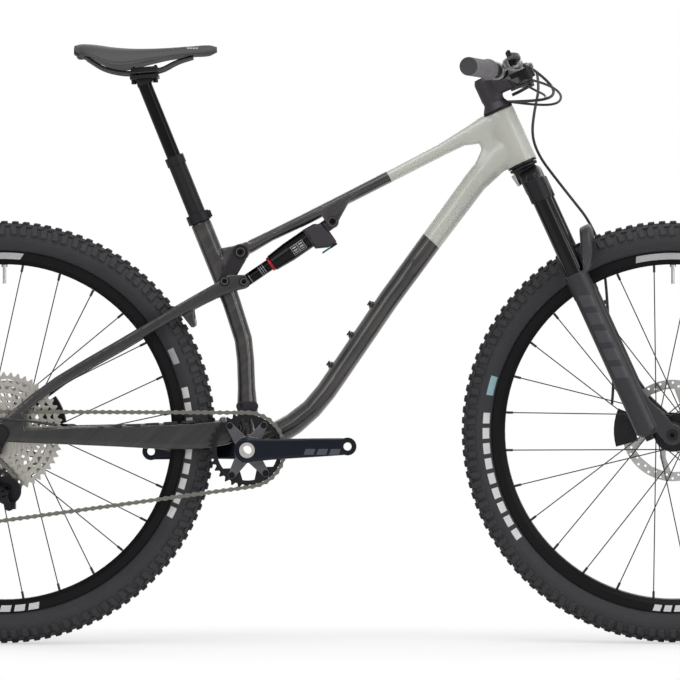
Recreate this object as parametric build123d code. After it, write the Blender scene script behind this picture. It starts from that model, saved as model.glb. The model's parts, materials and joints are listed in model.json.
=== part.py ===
from build123d import *
import os
from math import acos, atan2, ceil, cos, degrees, hypot, pi, radians, sin, sqrt, tan

os.makedirs("parts", exist_ok=True)

# A full-suspension trail bike, in mm. +X points forward, +Y to the rider's left and +Z up.
# The origin is on the ground, midway between the axles. "Right" is the drive side, at -Y.

# ---- Driving dimensions --------------------------------------------------------------
WHEELBASE = 1176.0
TYRE_RADIUS = 372.0
TYRE_HALF_WIDTH = 30.5
TYRE_SECTION = 30.0  # radial half height of the tyre's section
TYRE_WALL = 3.2
CHAINSTAY = 430.0
BB_DROP = 30.0
HEAD_ANGLE = 65.5  # degrees above the horizontal
HEAD_MID_X = 302.3
HEAD_MID_Z = 890.5
HEAD_LENGTH = 100.6
STEER_REST = -6.0  # degrees, the bars a little to the right in the rest pose
RAKE = 45.0  # front axle ahead of the head axis
FORK_SPAN = 590.3  # front axle below the middle of the head tube, along the head axis
SEAT_ANGLE = 68.0
SEAT_TOP_X = -246.0
SEAT_TOP_Z = 748.6

FIT = 0.05  # radial running clearance of a shaft in its bore
SEAT_GAP = 0.1  # gap at a seat between two pieces that are bolted together
GAP = 0.4  # least gap between pieces that move past each other

# Rear suspension pivots, as (x, z)
MAIN_PIVOT = (-177.7, 380.6)
ROCKER_PIVOT = (-172.0, 688.0)
STAY_PIVOT = (-199.5, 637.0)
SHOCK_LOWER = (-165.5, 636.0)
SHOCK_UPPER = (-10.5, 741.9)

# Y stations of the suspension, from the centre plane outwards
LUG_HALF = 18.0  # frame boss at the rocker pivot
ROCKER_IN = LUG_HALF + GAP
ROCKER_OUT = 25.0
STAY_LUG_IN = ROCKER_OUT + GAP
STAY_LUG_OUT = 32.5

CHAIN_LINE = 52.0
PITCH = 12.7
RING_TEETH = 32
COGS = (10, 12, 14, 16, 18, 21, 24, 28, 33, 39, 45, 51)
COG_IN_USE = 4  # index of the 18-tooth sprocket, the one that the chain is on
COG_PITCH_Y = 3.6
TOOTH_THICK = 1.8
CRANK_LENGTH = 175.0
CRANK_REST = 2.2  # degrees, right arm above the horizontal, pointing forward
PEDAL_BORE = 7.0

REAR_HALF = 74.0  # half of the rear hub's width between the dropouts
FRONT_HALF = 55.0
REAR_AXLE_R = 6.0
FRONT_AXLE_R = 7.5
SPOKES = 28
SPOKE_R = 1.0
RIM_DEPTH = 21.5
RIM_HALF_WIDTH = 17.5
ROTOR_R = 90.0
ROTOR_THICK = 1.8
FLANGE_R = 29.0  # spoke holes' circle
HOUSING_R = 2.2

STEERER_R = 14.3
CROWN_RACE_R = 19.5
STANCHION_R = 17.0
LEG_Y = 66.0
CROWN_OFFSET = 8.0
POST_R = 15.45
POST_STANCHION_R = 12.5
BAR_REACH = 61.5
BAR_HEIGHT = 91.5  # of the bar's centre above the middle of the head tube, along the head axis
BAR_HALF = 390.0
BAR_CLAMP_R = 15.9
BAR_GRIP_R = 11.1
BACK_SWEEP = 0.167  # slope of the grips, backwards
UP_SWEEP = 0.09
GRIP_R = 15.5
GRIP_LENGTH = 130.0
HOSE_R = 2.5

# Bores and bosses of the frame
HEAD_R = 27.6
HEAD_BORE = 21.0
LOWER_CUP_R = 25.0
CUP_DEPTH = 9.0
BB_SHELL_R = 24.0
BB_SHELL_HALF = 36.5
CUP_BORE_R = 17.4
SPINDLE_R = 12.0
PIVOT_PIN_R = 7.5
PIVOT_BOSS_HALF = 25.0
SHOCK_EAR_IN = 12.5
SHOCK_EAR_OUT = 18.0
SHOCK_PIN_R = 5.0
POST_DEPTH = 112.0

# ---- Derived places ------------------------------------------------------------------
RIM_OUTER_R = TYRE_RADIUS - 55.5  # the tyre's section rises above the rim by a fixed height
RIM_INNER_R = RIM_OUTER_R - RIM_DEPTH
REAR_X = -WHEELBASE / 2
AXLE_Z = TYRE_RADIUS
BB_X = REAR_X + sqrt(CHAINSTAY**2 - BB_DROP**2)
BB_Z = AXLE_Z - BB_DROP
HEAD_UP = Vector(-cos(radians(HEAD_ANGLE)), 0, sin(radians(HEAD_ANGLE)))
HEAD_FORE = Vector(sin(radians(HEAD_ANGLE)), 0, cos(radians(HEAD_ANGLE)))
HEAD_MID = Vector(HEAD_MID_X, 0, HEAD_MID_Z)
STEER_AXIS = Axis(tuple(HEAD_MID), tuple(HEAD_UP))
SEAT_UP = Vector(-cos(radians(SEAT_ANGLE)), 0, sin(radians(SEAT_ANGLE)))
SEAT_FORE = Vector(sin(radians(SEAT_ANGLE)), 0, cos(radians(SEAT_ANGLE)))
SEAT_TOP = Vector(SEAT_TOP_X, 0, SEAT_TOP_Z)
DROPOUT_IN = REAR_HALF + SEAT_GAP
DROPOUT_OUT = DROPOUT_IN + 9.0
HANGER_BOLT = (-595.0, 343.0)
SIDES = (-1, 1)


# ---- Shape helpers -------------------------------------------------------------------
def save(node, *shapes):
    """Write one node; several solids go in as one compound."""
    solids = [solid for shape in shapes for solid in shape.solids()]
    whole = solids[0] if len(solids) == 1 else Compound(solids)
    export_step(whole, f"parts/{node}.step")


def rod(start, end, radius):
    """A cylinder between two points."""
    start, end = Vector(*start), Vector(*end)
    place = Plane(origin=start, z_dir=end - start)
    return Solid.make_cylinder(radius, (end - start).length, place)


def cone(start, end, start_radius, end_radius):
    start, end = Vector(*start), Vector(*end)
    place = Plane(origin=start, z_dir=end - start)
    return Solid.make_cone(start_radius, end_radius, (end - start).length, place)


def across(x, z, radius, y0, y1):
    """A cylinder along Y."""
    return rod((x, min(y0, y1), z), (x, max(y0, y1), z), radius)


def slab(outline, y0, y1):
    """A plate in the XZ plane, from an outline of (x, z) points."""
    low, high = min(y0, y1), max(y0, y1)
    face = Face(Wire.make_polygon([(x, low, z) for x, z in outline], close=True))
    return extrude(face, amount=high - low, dir=(0, 1, 0))


def limb(stations, corner=0.0, ruled=True):
    """A limb of oval sections, each (x, y, z, height in the XZ plane, width across it).

    With a corner radius the sections are rounded rectangles instead.
    """
    points = [Vector(*station[:3]) for station in stations]
    sections = []
    for i, (_, _, _, height, width) in enumerate(stations):
        along = points[min(i + 1, len(points) - 1)] - points[max(i - 1, 0)]
        place = Plane(origin=points[i], x_dir=Vector(0, 1, 0).cross(along), z_dir=along)
        if corner:
            radius = min(corner, 0.48 * height, 0.48 * width)
            sections.append(place * RectangleRounded(height, width, radius))
        else:
            sections.append(place * Ellipse(height / 2, width / 2))
    return loft(sections, ruled=ruled)


def link_plate(a, b, ra, rb, y0, y1):
    """A plate with round ends at (x, z) points a and b, along its tangent lines."""
    dx, dz = b[0] - a[0], b[1] - a[1]
    length = hypot(dx, dz)
    base = atan2(dz, dx)
    lean = acos((ra - rb) / length)
    outline = []
    for centre, radius, sign in ((a, ra, 1), (b, rb, 1), (b, rb, -1), (a, ra, -1)):
        angle = base + sign * lean
        outline.append((centre[0] + radius * cos(angle), centre[1] + radius * sin(angle)))
    ends = across(*a, ra, y0, y1) + across(*b, rb, y0, y1)
    return slab(outline, y0, y1) + ends


def closed_wire(points, y):
    return Wire.make_polygon([(x, y, z) for x, z in points], close=True)


def hoop(x, z, radius, y):
    place = Plane(origin=(x, y, z), z_dir=(0, 1, 0))
    return Wire([Edge.make_circle(radius, place)])


def pierced(centre, outline, bore, holes, y0, y1):
    """A flat plate with holes; an outline or a hole is a radius or a list of (x, z).

    A hole of three numbers is a round one, (x, z, radius). All are about the centre.
    """
    cx, cz = centre
    if isinstance(outline, (int, float)):
        edge = hoop(cx, cz, outline, y0)
    else:
        edge = closed_wire([(cx + x, cz + z) for x, z in outline], y0)
    inner = [hoop(cx, cz, bore, y0)] if bore else []
    for hole in holes:
        if isinstance(hole[0], (int, float)):
            inner.append(hoop(cx + hole[0], cz + hole[1], hole[2], y0))
        else:
            inner.append(closed_wire([(cx + x, cz + z) for x, z in hole], y0))
    return extrude(Face(edge, inner), amount=y1 - y0, dir=(0, 1, 0))


def box(centre, size, lean=0.0):
    """A box, leaned forward about Y by some degrees."""
    block = Box(*size)
    if lean:
        block = block.rotate(Axis.Y, lean)
    return block.translate(centre)


def mirrored(shape):
    return mirror(shape, Plane.XZ)


def pair(shape):
    """A piece of the left side and its mirror image on the right."""
    return shape + mirrored(shape)


def spun(profile):
    """A ring about the Y axis, from (radius, y) points."""
    face = Face(Wire.make_polygon([(r, y, 0) for r, y in profile], close=True))
    return revolve(face, Axis.Y, 360)


def at_rear(shape):
    return shape.translate((REAR_X, 0, AXLE_Z))


def fork(t, n, y):
    """A point of the fork before it is steered: t up the head axis, n ahead of it."""
    return tuple(HEAD_MID + HEAD_UP * t + HEAD_FORE * n + Vector(0, y, 0))


def steered(shape):
    return shape.rotate(STEER_AXIS, STEER_REST)


def fork_slab(outline, y0, y1):
    """A plate in the fork's plane, from an outline of (t, n) points."""
    points = [fork(t, n, 0) for t, n in outline]
    return slab([(p[0], p[2]) for p in points], y0, y1)


def at_front(shape):
    """A wheel piece made about the origin, put on the steered front axle."""
    placed = shape.translate(fork(-FORK_SPAN, RAKE, 0))
    return steered(placed)


def post(t, n=0.0):
    """A point t up the seat axis from the top of the seat tube, n ahead of it."""
    return tuple(SEAT_TOP + SEAT_UP * t + SEAT_FORE * n)


def pitch_radius(teeth):
    return PITCH / (2 * sin(pi / teeth))


def hose(points, radius=HOSE_R):
    """A tube along straight runs that tangent arcs join, as large as the runs allow."""
    points = [Vector(*p) for p in points]
    radii = []
    for before, corner, after in zip(points, points[1:], points[2:]):
        first, second = corner - before, after - corner
        turn = radians(first.get_angle(second))
        radii.append(0.45 * min(first.length, second.length) / tan(turn / 2))
    path = FilletPolyline(*points, radius=radii)
    section = Plane(origin=points[0], z_dir=points[1] - points[0]) * Circle(radius)
    solid = sweep(section, path=path)
    length = sum(edge.length for edge in path.edges())
    error = solid.volume / (pi * radius**2 * length) - 1
    print(f"hose {length:.0f} mm, least radius {min(radii):.0f}, volume error {error:.1e}")
    return solid


# ---- Front triangle ------------------------------------------------------------------
DOWN_TUBE = (
    # x, z, height in the side view, width
    (BB_X, BB_Z, 46.0, 60.0),
    (-124.0, 360.0, 43.0, 60.0),
    (-78.0, 387.0, 40.0, 60.0),
    (-47.0, 413.0, 37.0, 59.0),
    (-22.0, 443.0, 36.5, 58.0),
    (-4.0, 469.0, 36.5, 57.0),
    (89.5, 606.7, 37.3, 54.0),
    (163.1, 707.6, 38.5, 52.0),
    (240.4, 812.1, 42.0, 48.0),
    (300.0, 876.0, 56.0, 46.0),
)
TOP_TUBE = (
    (-215.0, 668.0, 22.0, 33.0),
    (-154.8, 698.5, 23.0, 33.0),
    (-119.6, 717.3, 19.5, 34.0),
    (-61.5, 745.2, 21.0, 36.0),
    (21.2, 786.9, 21.5, 38.0),
    (91.6, 822.9, 22.0, 39.0),
    (179.6, 868.3, 23.0, 40.0),
    (235.0, 899.0, 30.0, 42.0),
    (285.0, 923.0, 46.0, 44.0),
)
SEAT_TUBE = (
    (SEAT_TOP_X + 3, SEAT_TOP_Z - 7.4, 36.0, 36.0),
    (-226.0, 699.1, 36.0, 36.0),
    (-209.4, 658.0, 36.0, 36.0),
    (-187.5, 598.0, 32.0, 36.0),
    (-167.5, 535.0, 31.5, 36.0),
    (-163.5, 498.0, 30.5, 38.0),
    (-161.8, 450.0, 31.0, 42.0),
    (-160.0, 400.0, 38.0, 48.0),
    (BB_X, BB_Z, 44.0, 56.0),
)
CLAMP_LOW = -7.8
CLAMP_HIGH = 8.2
CLAMP_SEAT_R = 17.3
CLAMP_R = 20.8
BOTTLE_MID = (18.0, 545.9)
BOTTLE_SPACING = 64.0
BOTTLE_ALONG = (0.5617, 0.8274)
BOTTLE_STEP = (BOTTLE_SPACING * BOTTLE_ALONG[0], BOTTLE_SPACING * BOTTLE_ALONG[1])
BOTTLE_BOLTS = [
    (BOTTLE_MID[0] + k * BOTTLE_STEP[0], BOTTLE_MID[1] + k * BOTTLE_STEP[1]) for k in (1, 0, -1)
]


def bottle(x, z, out):
    """A point on a bottle bolt's axis, out from the down tube's upper side."""
    return (x - BOTTLE_ALONG[1] * out, 0, z + BOTTLE_ALONG[0] * out)


def front_triangle():
    """The moulded front triangle: its tubes, bosses and gussets, then its bores."""
    half_head = HEAD_LENGTH / 2
    frame = limb([(x, 0, z, h, w) for x, z, h, w in DOWN_TUBE])
    frame += limb([(x, 0, z, h, w) for x, z, h, w in TOP_TUBE])
    frame += limb([(x, 0, z, h, w) for x, z, h, w in SEAT_TUBE])
    frame += rod(fork(-half_head, 0, 0), fork(half_head, 0, 0), HEAD_R)
    frame += across(BB_X, BB_Z, BB_SHELL_R, -BB_SHELL_HALF, BB_SHELL_HALF)
    # the web between the down tube and the top tube, behind the head tube
    frame += slab(
        (
            (232.0, 908.0),
            (255.0, 922.0),
            (298.0, 834.0),
            (272.0, 823.0),
            (238.0, 838.0),
            (252.0, 869.0),
            (249.0, 880.0),
            (222.0, 876.5),
        ),
        -18.0,
        18.0,
    )
    # the corner between the seat tube and the top tube, round the rocker pivot
    frame += slab(
        ((-206.0, 695.0), (-181.0, 700.0), (-160.0, 707.0), (-158.0, 684.0), (-190.0, 640.0)),
        -LUG_HALF,
        LUG_HALF,
    )
    frame += across(*ROCKER_PIVOT, 15.0, -LUG_HALF, LUG_HALF)
    # the main pivot's boss, behind the foot of the seat tube
    frame += link_plate(MAIN_PIVOT, (BB_X, BB_Z + 22), 15.0, 18.0, -20.0, 20.0)
    frame += across(*MAIN_PIVOT, 15.0, -PIVOT_BOSS_HALF, PIVOT_BOSS_HALF)
    # the shock's ears, under the top tube
    for side in SIDES:
        frame += slab(
            ((-31.0, 767.0), (21.0, 781.0), (0.5, 744.0), (-3.0, 732.0), (-16.0, 731.0), (-29.0, 752.0)),
            side * SHOCK_EAR_IN,
            side * SHOCK_EAR_OUT,
        )
    for x, z in BOTTLE_BOLTS:
        frame += rod(bottle(x, z, -16), bottle(x, z, -1.5), 6.0)
    return frame


def front_triangle_bores(frame):
    half_head = HEAD_LENGTH / 2
    frame -= rod(fork(-half_head - 1, 0, 0), fork(half_head + 1, 0, 0), HEAD_BORE)
    frame -= rod(fork(-half_head - 1, 0, 0), fork(-half_head + CUP_DEPTH, 0, 0), LOWER_CUP_R)
    frame -= rod(fork(half_head, 0, 0), fork(half_head + 40, 0, 0), HEAD_R + 1.5)
    frame -= across(BB_X, BB_Z, CUP_BORE_R, -BB_SHELL_HALF - 9, BB_SHELL_HALF + 9)
    for side in SIDES:
        frame -= across(BB_X, BB_Z, 40.0, side * BB_SHELL_HALF, side * (BB_SHELL_HALF + 20))
        frame -= across(*MAIN_PIVOT, 18.4, side * PIVOT_BOSS_HALF, side * 60)
    frame -= across(*MAIN_PIVOT, PIVOT_PIN_R + SEAT_GAP, -60, 60)
    frame -= across(*ROCKER_PIVOT, PIVOT_PIN_R + SEAT_GAP, -60, 60)
    frame -= across(*SHOCK_UPPER, SHOCK_PIN_R + SEAT_GAP, -60, 60)
    frame -= rod(post(-POST_DEPTH), post(20), POST_R + SEAT_GAP)
    frame -= rod(post(5), post(40), 30.0)
    frame -= rod(post(CLAMP_LOW - SEAT_GAP), post(5.1), 30.0) - rod(post(-20), post(20), CLAMP_SEAT_R)
    for x, z in BOTTLE_BOLTS:
        frame -= rod(bottle(x, z, -16), bottle(x, z, 6), 2.6)
    return frame


save("front_triangle", front_triangle_bores(front_triangle()))


def seat_clamp():
    """The collar at the top of the seat tube, slit at the front, with its bolt."""
    ring = rod(post(CLAMP_LOW), post(CLAMP_HIGH), CLAMP_R)
    ring += box(post(0, n=19.0), (10.0, 16.0, 12.0), lean=-(90 - SEAT_ANGLE))
    ring -= rod(post(CLAMP_LOW - 1), post(5.2), CLAMP_SEAT_R + SEAT_GAP)
    ring -= rod(post(0), post(20), POST_R + SEAT_GAP)
    ring -= box(post(0, n=25.0), (30.0, 1.6, 40.0), lean=-(90 - SEAT_ANGLE))
    return ring


COLLAR_LOW = 101.0
COLLAR_HIGH = 116.4


def dropper_outer():
    tube = rod(post(-POST_DEPTH + 2), post(COLLAR_LOW + 1), POST_R)
    tube += rod(post(COLLAR_LOW), post(COLLAR_HIGH), 17.2)
    return tube - rod(post(-POST_DEPTH + 5), post(COLLAR_HIGH + 1), POST_STANCHION_R + FIT)


def headset_bearings():
    """The upper and lower bearings in the head tube, round the steerer."""
    half = HEAD_LENGTH / 2
    upper = rod(fork(half - 12, 0, 0), fork(half + 1, 0, 0), HEAD_BORE - SEAT_GAP)
    upper += rod(fork(half + SEAT_GAP, 0, 0), fork(half + 3, 0, 0), HEAD_R - 0.6)
    upper -= rod(fork(0, 0, 0), fork(80, 0, 0), STEERER_R + FIT)
    lower = rod(fork(-half + 1, 0, 0), fork(-half - 3, 0, 0), LOWER_CUP_R - SEAT_GAP)
    lower += rod(fork(-half - SEAT_GAP, 0, 0), fork(-half - 3, 0, 0), HEAD_R - 0.6)
    lower += rod(fork(-half + CUP_DEPTH - SEAT_GAP, 0, 0), fork(-half, 0, 0), LOWER_CUP_R - SEAT_GAP)
    lower -= rod(fork(-80, 0, 0), fork(0, 0, 0), CROWN_RACE_R + FIT)
    return [upper, lower]


def bottle_bolts():
    bolts = []
    for x, z in BOTTLE_BOLTS:
        shank = rod(bottle(x, z, -14), bottle(x, z, 0), 2.5)
        bolts.append(shank + rod(bottle(x, z, -1.4), bottle(x, z, 1.8), 4.8))
    return bolts


def guide_mount():
    """A small plate for a chain guide on the right of the seat tube's foot, and two bolts."""
    plate = link_plate((-171.0, 417.5), (-149.0, 417.5), 8.5, 8.5, -26.7, -23.8)
    plate -= across(-170.0, 419.0, 4.0, -40, 0)
    return plate


save("seat_clamp", seat_clamp())
save("dropper_outer", dropper_outer())
save("frame_fittings", *bottle_bolts(), guide_mount())


# ---- Wheels ----------------------------------------------------------------------------
BEAD_IN = 11.0
BEAD_OUT = 14.2
ROTOR_FRONT_Y = 39.5
ROTOR_REAR_Y = 57.0
FLANGE_Y = 24.0
REAR_FLANGE_RIGHT = 19.0  # nearer to the middle, for the cassette
FLANGE_HALF = 1.5
HUB_SLEEVE_R = 9.0
HUB_FIT = HUB_SLEEVE_R + FIT
DRIVER_TOP_Y = -25.2  # inner end of the freewheel body
NIPPLE_R = 2.2
NIPPLE_LENGTH = 12.0
SPOKE_CROSSES = 3


def tyre():
    """A hollow tyre, open at its beads, about the Y axis."""
    centre = TYRE_RADIUS - TYRE_SECTION
    place = Location((centre, 0, 0))
    section = place * Ellipse(TYRE_SECTION, TYRE_HALF_WIDTH)
    section -= place * Ellipse(TYRE_SECTION - TYRE_WALL, TYRE_HALF_WIDTH - TYRE_WALL)
    low = centre - TYRE_SECTION
    section -= Location((low, 0, 0)) * Rectangle(30, 2 * BEAD_IN)
    for side in SIDES:
        flange = Rectangle(2 * (RIM_OUTER_R + 0.4 - low), 20)
        section -= Location((low, side * (BEAD_OUT + 10), 0)) * flange
    return revolve(section, Axis.Y, 360)


def rim():
    profile = (
        (RIM_INNER_R, -9.0),
        (RIM_INNER_R, 9.0),
        (RIM_INNER_R + 8, RIM_HALF_WIDTH - 0.5),
        (RIM_OUTER_R, RIM_HALF_WIDTH),
        (RIM_OUTER_R, RIM_HALF_WIDTH - 3),
        (RIM_OUTER_R - 8.5, RIM_HALF_WIDTH - 3),
        (RIM_OUTER_R - 11, BEAD_IN - 2),
        (RIM_OUTER_R - 11, -BEAD_IN + 2),
        (RIM_OUTER_R - 8.5, -RIM_HALF_WIDTH + 3),
        (RIM_OUTER_R, -RIM_HALF_WIDTH + 3),
        (RIM_OUTER_R, -RIM_HALF_WIDTH),
        (RIM_INNER_R + 8, -RIM_HALF_WIDTH + 0.5),
    )
    return spun(profile) - rod((0, 0, RIM_INNER_R - 5), (0, 0, RIM_OUTER_R), 3.3)


def valve():
    """A valve through the rim at the top of the wheel."""
    stem = rod((0, 0, RIM_INNER_R - 34), (0, 0, RIM_OUTER_R - 8), 3.0)
    return stem + rod((0, 0, RIM_INNER_R - 5), (0, 0, RIM_INNER_R - SEAT_GAP), 5.5)


def spokes(right):
    """Crossed spokes with their nipples, alternating between the two flanges."""
    laced = []
    step = 360 / SPOKES
    for k in range(SPOKES):
        side = 1 if k % 2 else -1
        lead = 1 if (k // 2) % 2 else -1
        rim_angle = radians(step * (k + 0.5))
        hub_angle = rim_angle + lead * radians(2 * step * SPOKE_CROSSES)
        off = FLANGE_HALF + SPOKE_R + (1.5 if lead > 0 else SEAT_GAP)
        y = side * ((FLANGE_Y if side > 0 else right) + lead * off)
        foot = Vector(FLANGE_R * cos(hub_angle), y, FLANGE_R * sin(hub_angle))
        reach = RIM_INNER_R - 0.3
        head = Vector(reach * cos(rim_angle), side * 4.5, reach * sin(rim_angle))
        along = (head - foot).normalized()
        waist = head - along * NIPPLE_LENGTH
        laced.append(rod(foot, waist, SPOKE_R) + rod(waist, head, NIPPLE_R))
    return laced


def rotor(y):
    """A brake disc with a vented ring and six swept arms."""
    band, arms = 74.0, 6
    holes = []
    for k in range(arms):
        start = 360 / arms * k
        outline = []
        near = [(6, 30), (30, 30), (48, 30), (64, 52)]
        far = [(angle, band) for angle in (78, 60, 40, 28)]
        for angle, radius in near + far + [(16, 50)]:
            turn = radians(start + angle)
            outline.append((radius * cos(turn), radius * sin(turn)))
        holes.append(outline)
    for k in range(48):
        turn = radians(7.5 * k)
        radius = 79.0 if k % 2 else 85.0
        holes.append((radius * cos(turn), radius * sin(turn), 2.2))
    return pierced((0, 0), ROTOR_R, 21.5, holes, y - ROTOR_THICK / 2, y + ROTOR_THICK / 2)


def flange(y):
    """The profile of one spoke flange, towards +Y."""
    near, far = y - FLANGE_HALF, y + FLANGE_HALF
    return ((20.0, near), (FLANGE_R + 4, near), (FLANGE_R + 4, far), (20.0, far))


def front_hub():
    disc = ROTOR_FRONT_Y - ROTOR_THICK / 2 - SEAT_GAP
    left, right = flange(FLANGE_Y), flange(-FLANGE_Y)
    profile = ((HUB_FIT, -FRONT_HALF + 8), (14.0, -FRONT_HALF + 8), (15.0, -FLANGE_Y - 5))
    profile += right + ((15.0, -FLANGE_Y + 8), (15.0, FLANGE_Y - 8)) + left
    profile += ((20.0, FLANGE_Y + 8), (24.0, FLANGE_Y + 9), (24.0, disc), (21.4, disc))
    profile += ((21.4, ROTOR_FRONT_Y + 4), (16.0, FRONT_HALF - 8), (HUB_FIT, FRONT_HALF - 8))
    return spun(profile)


def rear_hub():
    disc = ROTOR_REAR_Y - ROTOR_THICK / 2 - SEAT_GAP
    profile = ((HUB_FIT, DRIVER_TOP_Y + GAP), (20.0, DRIVER_TOP_Y + GAP))
    profile += flange(-REAR_FLANGE_RIGHT) + ((17.0, -FLANGE_Y + 12),)
    profile += ((16.0, FLANGE_Y - 8),) + flange(FLANGE_Y) + ((18.0, FLANGE_Y + 10),)
    profile += ((19.0, ROTOR_REAR_Y - 9), (24.0, ROTOR_REAR_Y - 7), (24.0, disc), (21.4, disc))
    profile += ((21.4, ROTOR_REAR_Y + 4), (16.0, REAR_HALF - 10), (HUB_FIT, REAR_HALF - 10))
    return spun(profile)


save("front_tyre", at_front(tyre()))
save("front_rim", at_front(rim()), at_front(valve()))
save("front_spokes", *[at_front(spoke) for spoke in spokes(FLANGE_Y)])
save("front_hub", at_front(front_hub()))
save("front_rotor", at_front(rotor(ROTOR_FRONT_Y)))
save("rear_tyre", at_rear(tyre()))
save("rear_rim", at_rear(rim()), at_rear(valve()))
save("rear_spokes", *[at_rear(spoke) for spoke in spokes(REAR_FLANGE_RIGHT)])
save("rear_hub", at_rear(rear_hub()))
save("rear_rotor", at_rear(rotor(ROTOR_REAR_Y)))


def caliper(axle, rotor_y, low, high, inner, outer, y0, y1):
    """A brake body over the rim of a disc, between two angles from the axle."""
    ax, az = axle
    body = []
    steps = 6
    for k in range(steps + 1):
        angle = radians(low + (high - low) * k / steps)
        body.append((ax + outer * cos(angle), az + outer * sin(angle)))
    for k in range(steps + 1):
        angle = radians(high + (low - high) * k / steps)
        body.append((ax + inner * cos(angle), az + inner * sin(angle)))
    block = slab(body, y0, y1)
    block -= across(ax, az, ROTOR_R + 1.5, rotor_y - 1.6, rotor_y + 1.6)
    middle = radians((low + high) / 2)
    reach = (inner + outer) / 2 - 2
    cx, cz = ax + reach * cos(middle), az + reach * sin(middle)
    for face, depth in ((y0, -2.5), (y1, 2.5)):
        block += across(cx, cz, 12.0, face, face + depth)
    return block


def pivot_bolt(pivot, radius, head, grip, thick=2.6):
    """A pin with a round head on each end; the heads begin at the grip."""
    pin = across(*pivot, radius, -grip - 1, grip + 1)
    for side in SIDES:
        pin += across(*pivot, head, side * grip, side * (grip + thick))
    return pin


# ---- Rear triangle and what is fixed to it ---------------------------------------------
CHAINSTAY_PATH = (
    # x, y, z, height, width
    (-168.0, 33.0, 379.0, 30.0, 12.0),
    (-196.0, 34.5, 372.0, 42.0, 13.5),
    (-243.0, 40.5, 366.0, 47.0, 12.0),
    (-296.0, 41.5, 364.5, 45.0, 13.0),
    (-380.0, 49.0, 366.0, 38.0, 14.0),
    (-461.0, 61.0, 367.0, 32.0, 15.0),
    (-530.0, 72.0, 367.0, 26.0, 14.0),
    (-580.0, 78.6, 368.5, 24.0, 8.8),
)
SEATSTAY_PATH = (
    (-190.0, 29.0, 633.0, 26.0, 7.0),
    (-243.0, 32.5, 605.5, 22.0, 9.0),
    (-278.0, 41.0, 586.0, 20.0, 12.0),
    (-330.0, 44.0, 555.5, 19.0, 12.5),
    (-384.0, 47.0, 523.5, 19.0, 13.0),
    (-440.0, 52.5, 491.5, 18.0, 13.0),
    (-489.0, 60.0, 462.0, 17.0, 13.0),
    (-530.0, 69.0, 432.0, 17.0, 13.0),
    (-574.0, 78.7, 392.0, 20.0, 8.6),
)
SHELL_AT_FULL_TRAVEL = (-150.3, 347.6)  # where the swung triangle sees the crank's shell
MAIN_LUG_OUT = 38.0
PIVOT_HEAD_R = 11.0
YOKE_OUTLINE = (
    (-193.6, 648.0),
    (-163.0, 648.0),
    (-155.0, 636.0),
    (-161.9, 625.0),
    (-179.5, 621.0),
    (-192.0, 616.0),
    (-214.0, 607.0),
    (-221.0, 622.0),
    (-206.0, 640.0),
)
BRIDGE = (-256.0, 566.0)
STAY_BOLT_R = 5.0
STAY_HEAD_R = 8.0
DERAILLEUR_HOUSING = (
    (-490.0, -69.5, 385.8),
    (-545.0, -87.0, 394.0),
    (-597.0, -94.0, 399.0),
    (-640.0, -94.0, 380.0),
    (-658.0, -90.0, 338.0),
    (-646.0, -83.0, 309.5),
)


def stay_side():
    """The left half of the rear triangle."""
    side = limb(CHAINSTAY_PATH, corner=5.0)
    side += limb(SEATSTAY_PATH, corner=4.0)
    side += across(*MAIN_PIVOT, 17.0, PIVOT_BOSS_HALF + GAP, MAIN_LUG_OUT)
    side += slab(YOKE_OUTLINE, STAY_LUG_IN, STAY_LUG_OUT)
    side += across(REAR_X, AXLE_Z, 17.0, DROPOUT_IN, DROPOUT_OUT)
    side += slab(
        ((-566.0, 357.0), (-548.0, 358.0), (-545.0, 400.0), (-562.0, 414.0), (-600.0, 385.0)),
        DROPOUT_IN,
        DROPOUT_OUT - 1,
    )
    side += slab(
        ((-279.0, 583.0), (-256.0, 596.0), (-250.0, 560.0), (-257.0, 555.0)),
        27.0,
        37.0,
    )
    return side


def rear_triangle():
    whole = pair(stay_side())
    whole += slab(
        ((-211.5, 352.0), (-198.5, 356.0), (-198.0, 398.0), (-206.0, 399.0), (-212.0, 390.0)),
        -34.0,
        34.0,
    )
    whole += across(*BRIDGE, 6.0, -30.0, 30.0)
    # the brake's feet, on the left stay
    whole += box((-481.0, 64.0, 381.0), (26.0, 10.0, 8.0))
    whole -= across(*MAIN_PIVOT, PIVOT_PIN_R + FIT, -60, 60)
    whole -= across(REAR_X, AXLE_Z, REAR_AXLE_R + SEAT_GAP, -100, 100)
    for side in SIDES:
        for pivot in (STAY_PIVOT, SHOCK_LOWER):
            whole -= across(*pivot, STAY_BOLT_R + SEAT_GAP, side * 20, side * 40)
            whole -= across(*pivot, STAY_HEAD_R + GAP, side * STAY_LUG_OUT, side * 50)
        whole -= across(*MAIN_PIVOT, PIVOT_HEAD_R + GAP, side * MAIN_LUG_OUT, side * 60)
    # clear of the frame's boss at the main pivot and, through the swing, of the crank's shell
    whole -= across(*MAIN_PIVOT, 24.0, -PIVOT_BOSS_HALF - GAP, PIVOT_BOSS_HALF + GAP)
    shell = BB_SHELL_R + 1.5
    whole -= link_plate((BB_X, BB_Z), SHELL_AT_FULL_TRAVEL, shell, shell - 0.01, -60, 60)
    whole -= across(REAR_X, AXLE_Z, 18.0, -DROPOUT_IN, DROPOUT_IN)
    # the shift housing's port
    port = Vector(*DERAILLEUR_HOUSING[0])
    along = (Vector(*DERAILLEUR_HOUSING[1]) - port).normalized()
    whole -= rod(tuple(port - along * 0.5), tuple(port + along * 25), HOUSING_R + 0.3)
    # clear of the tyre all round
    room = TYRE_RADIUS + 5.5
    whole -= at_rear(spun(((200.0, -33.0), (room, -33.0), (room, 33.0), (200.0, 33.0))))
    return whole


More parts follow.
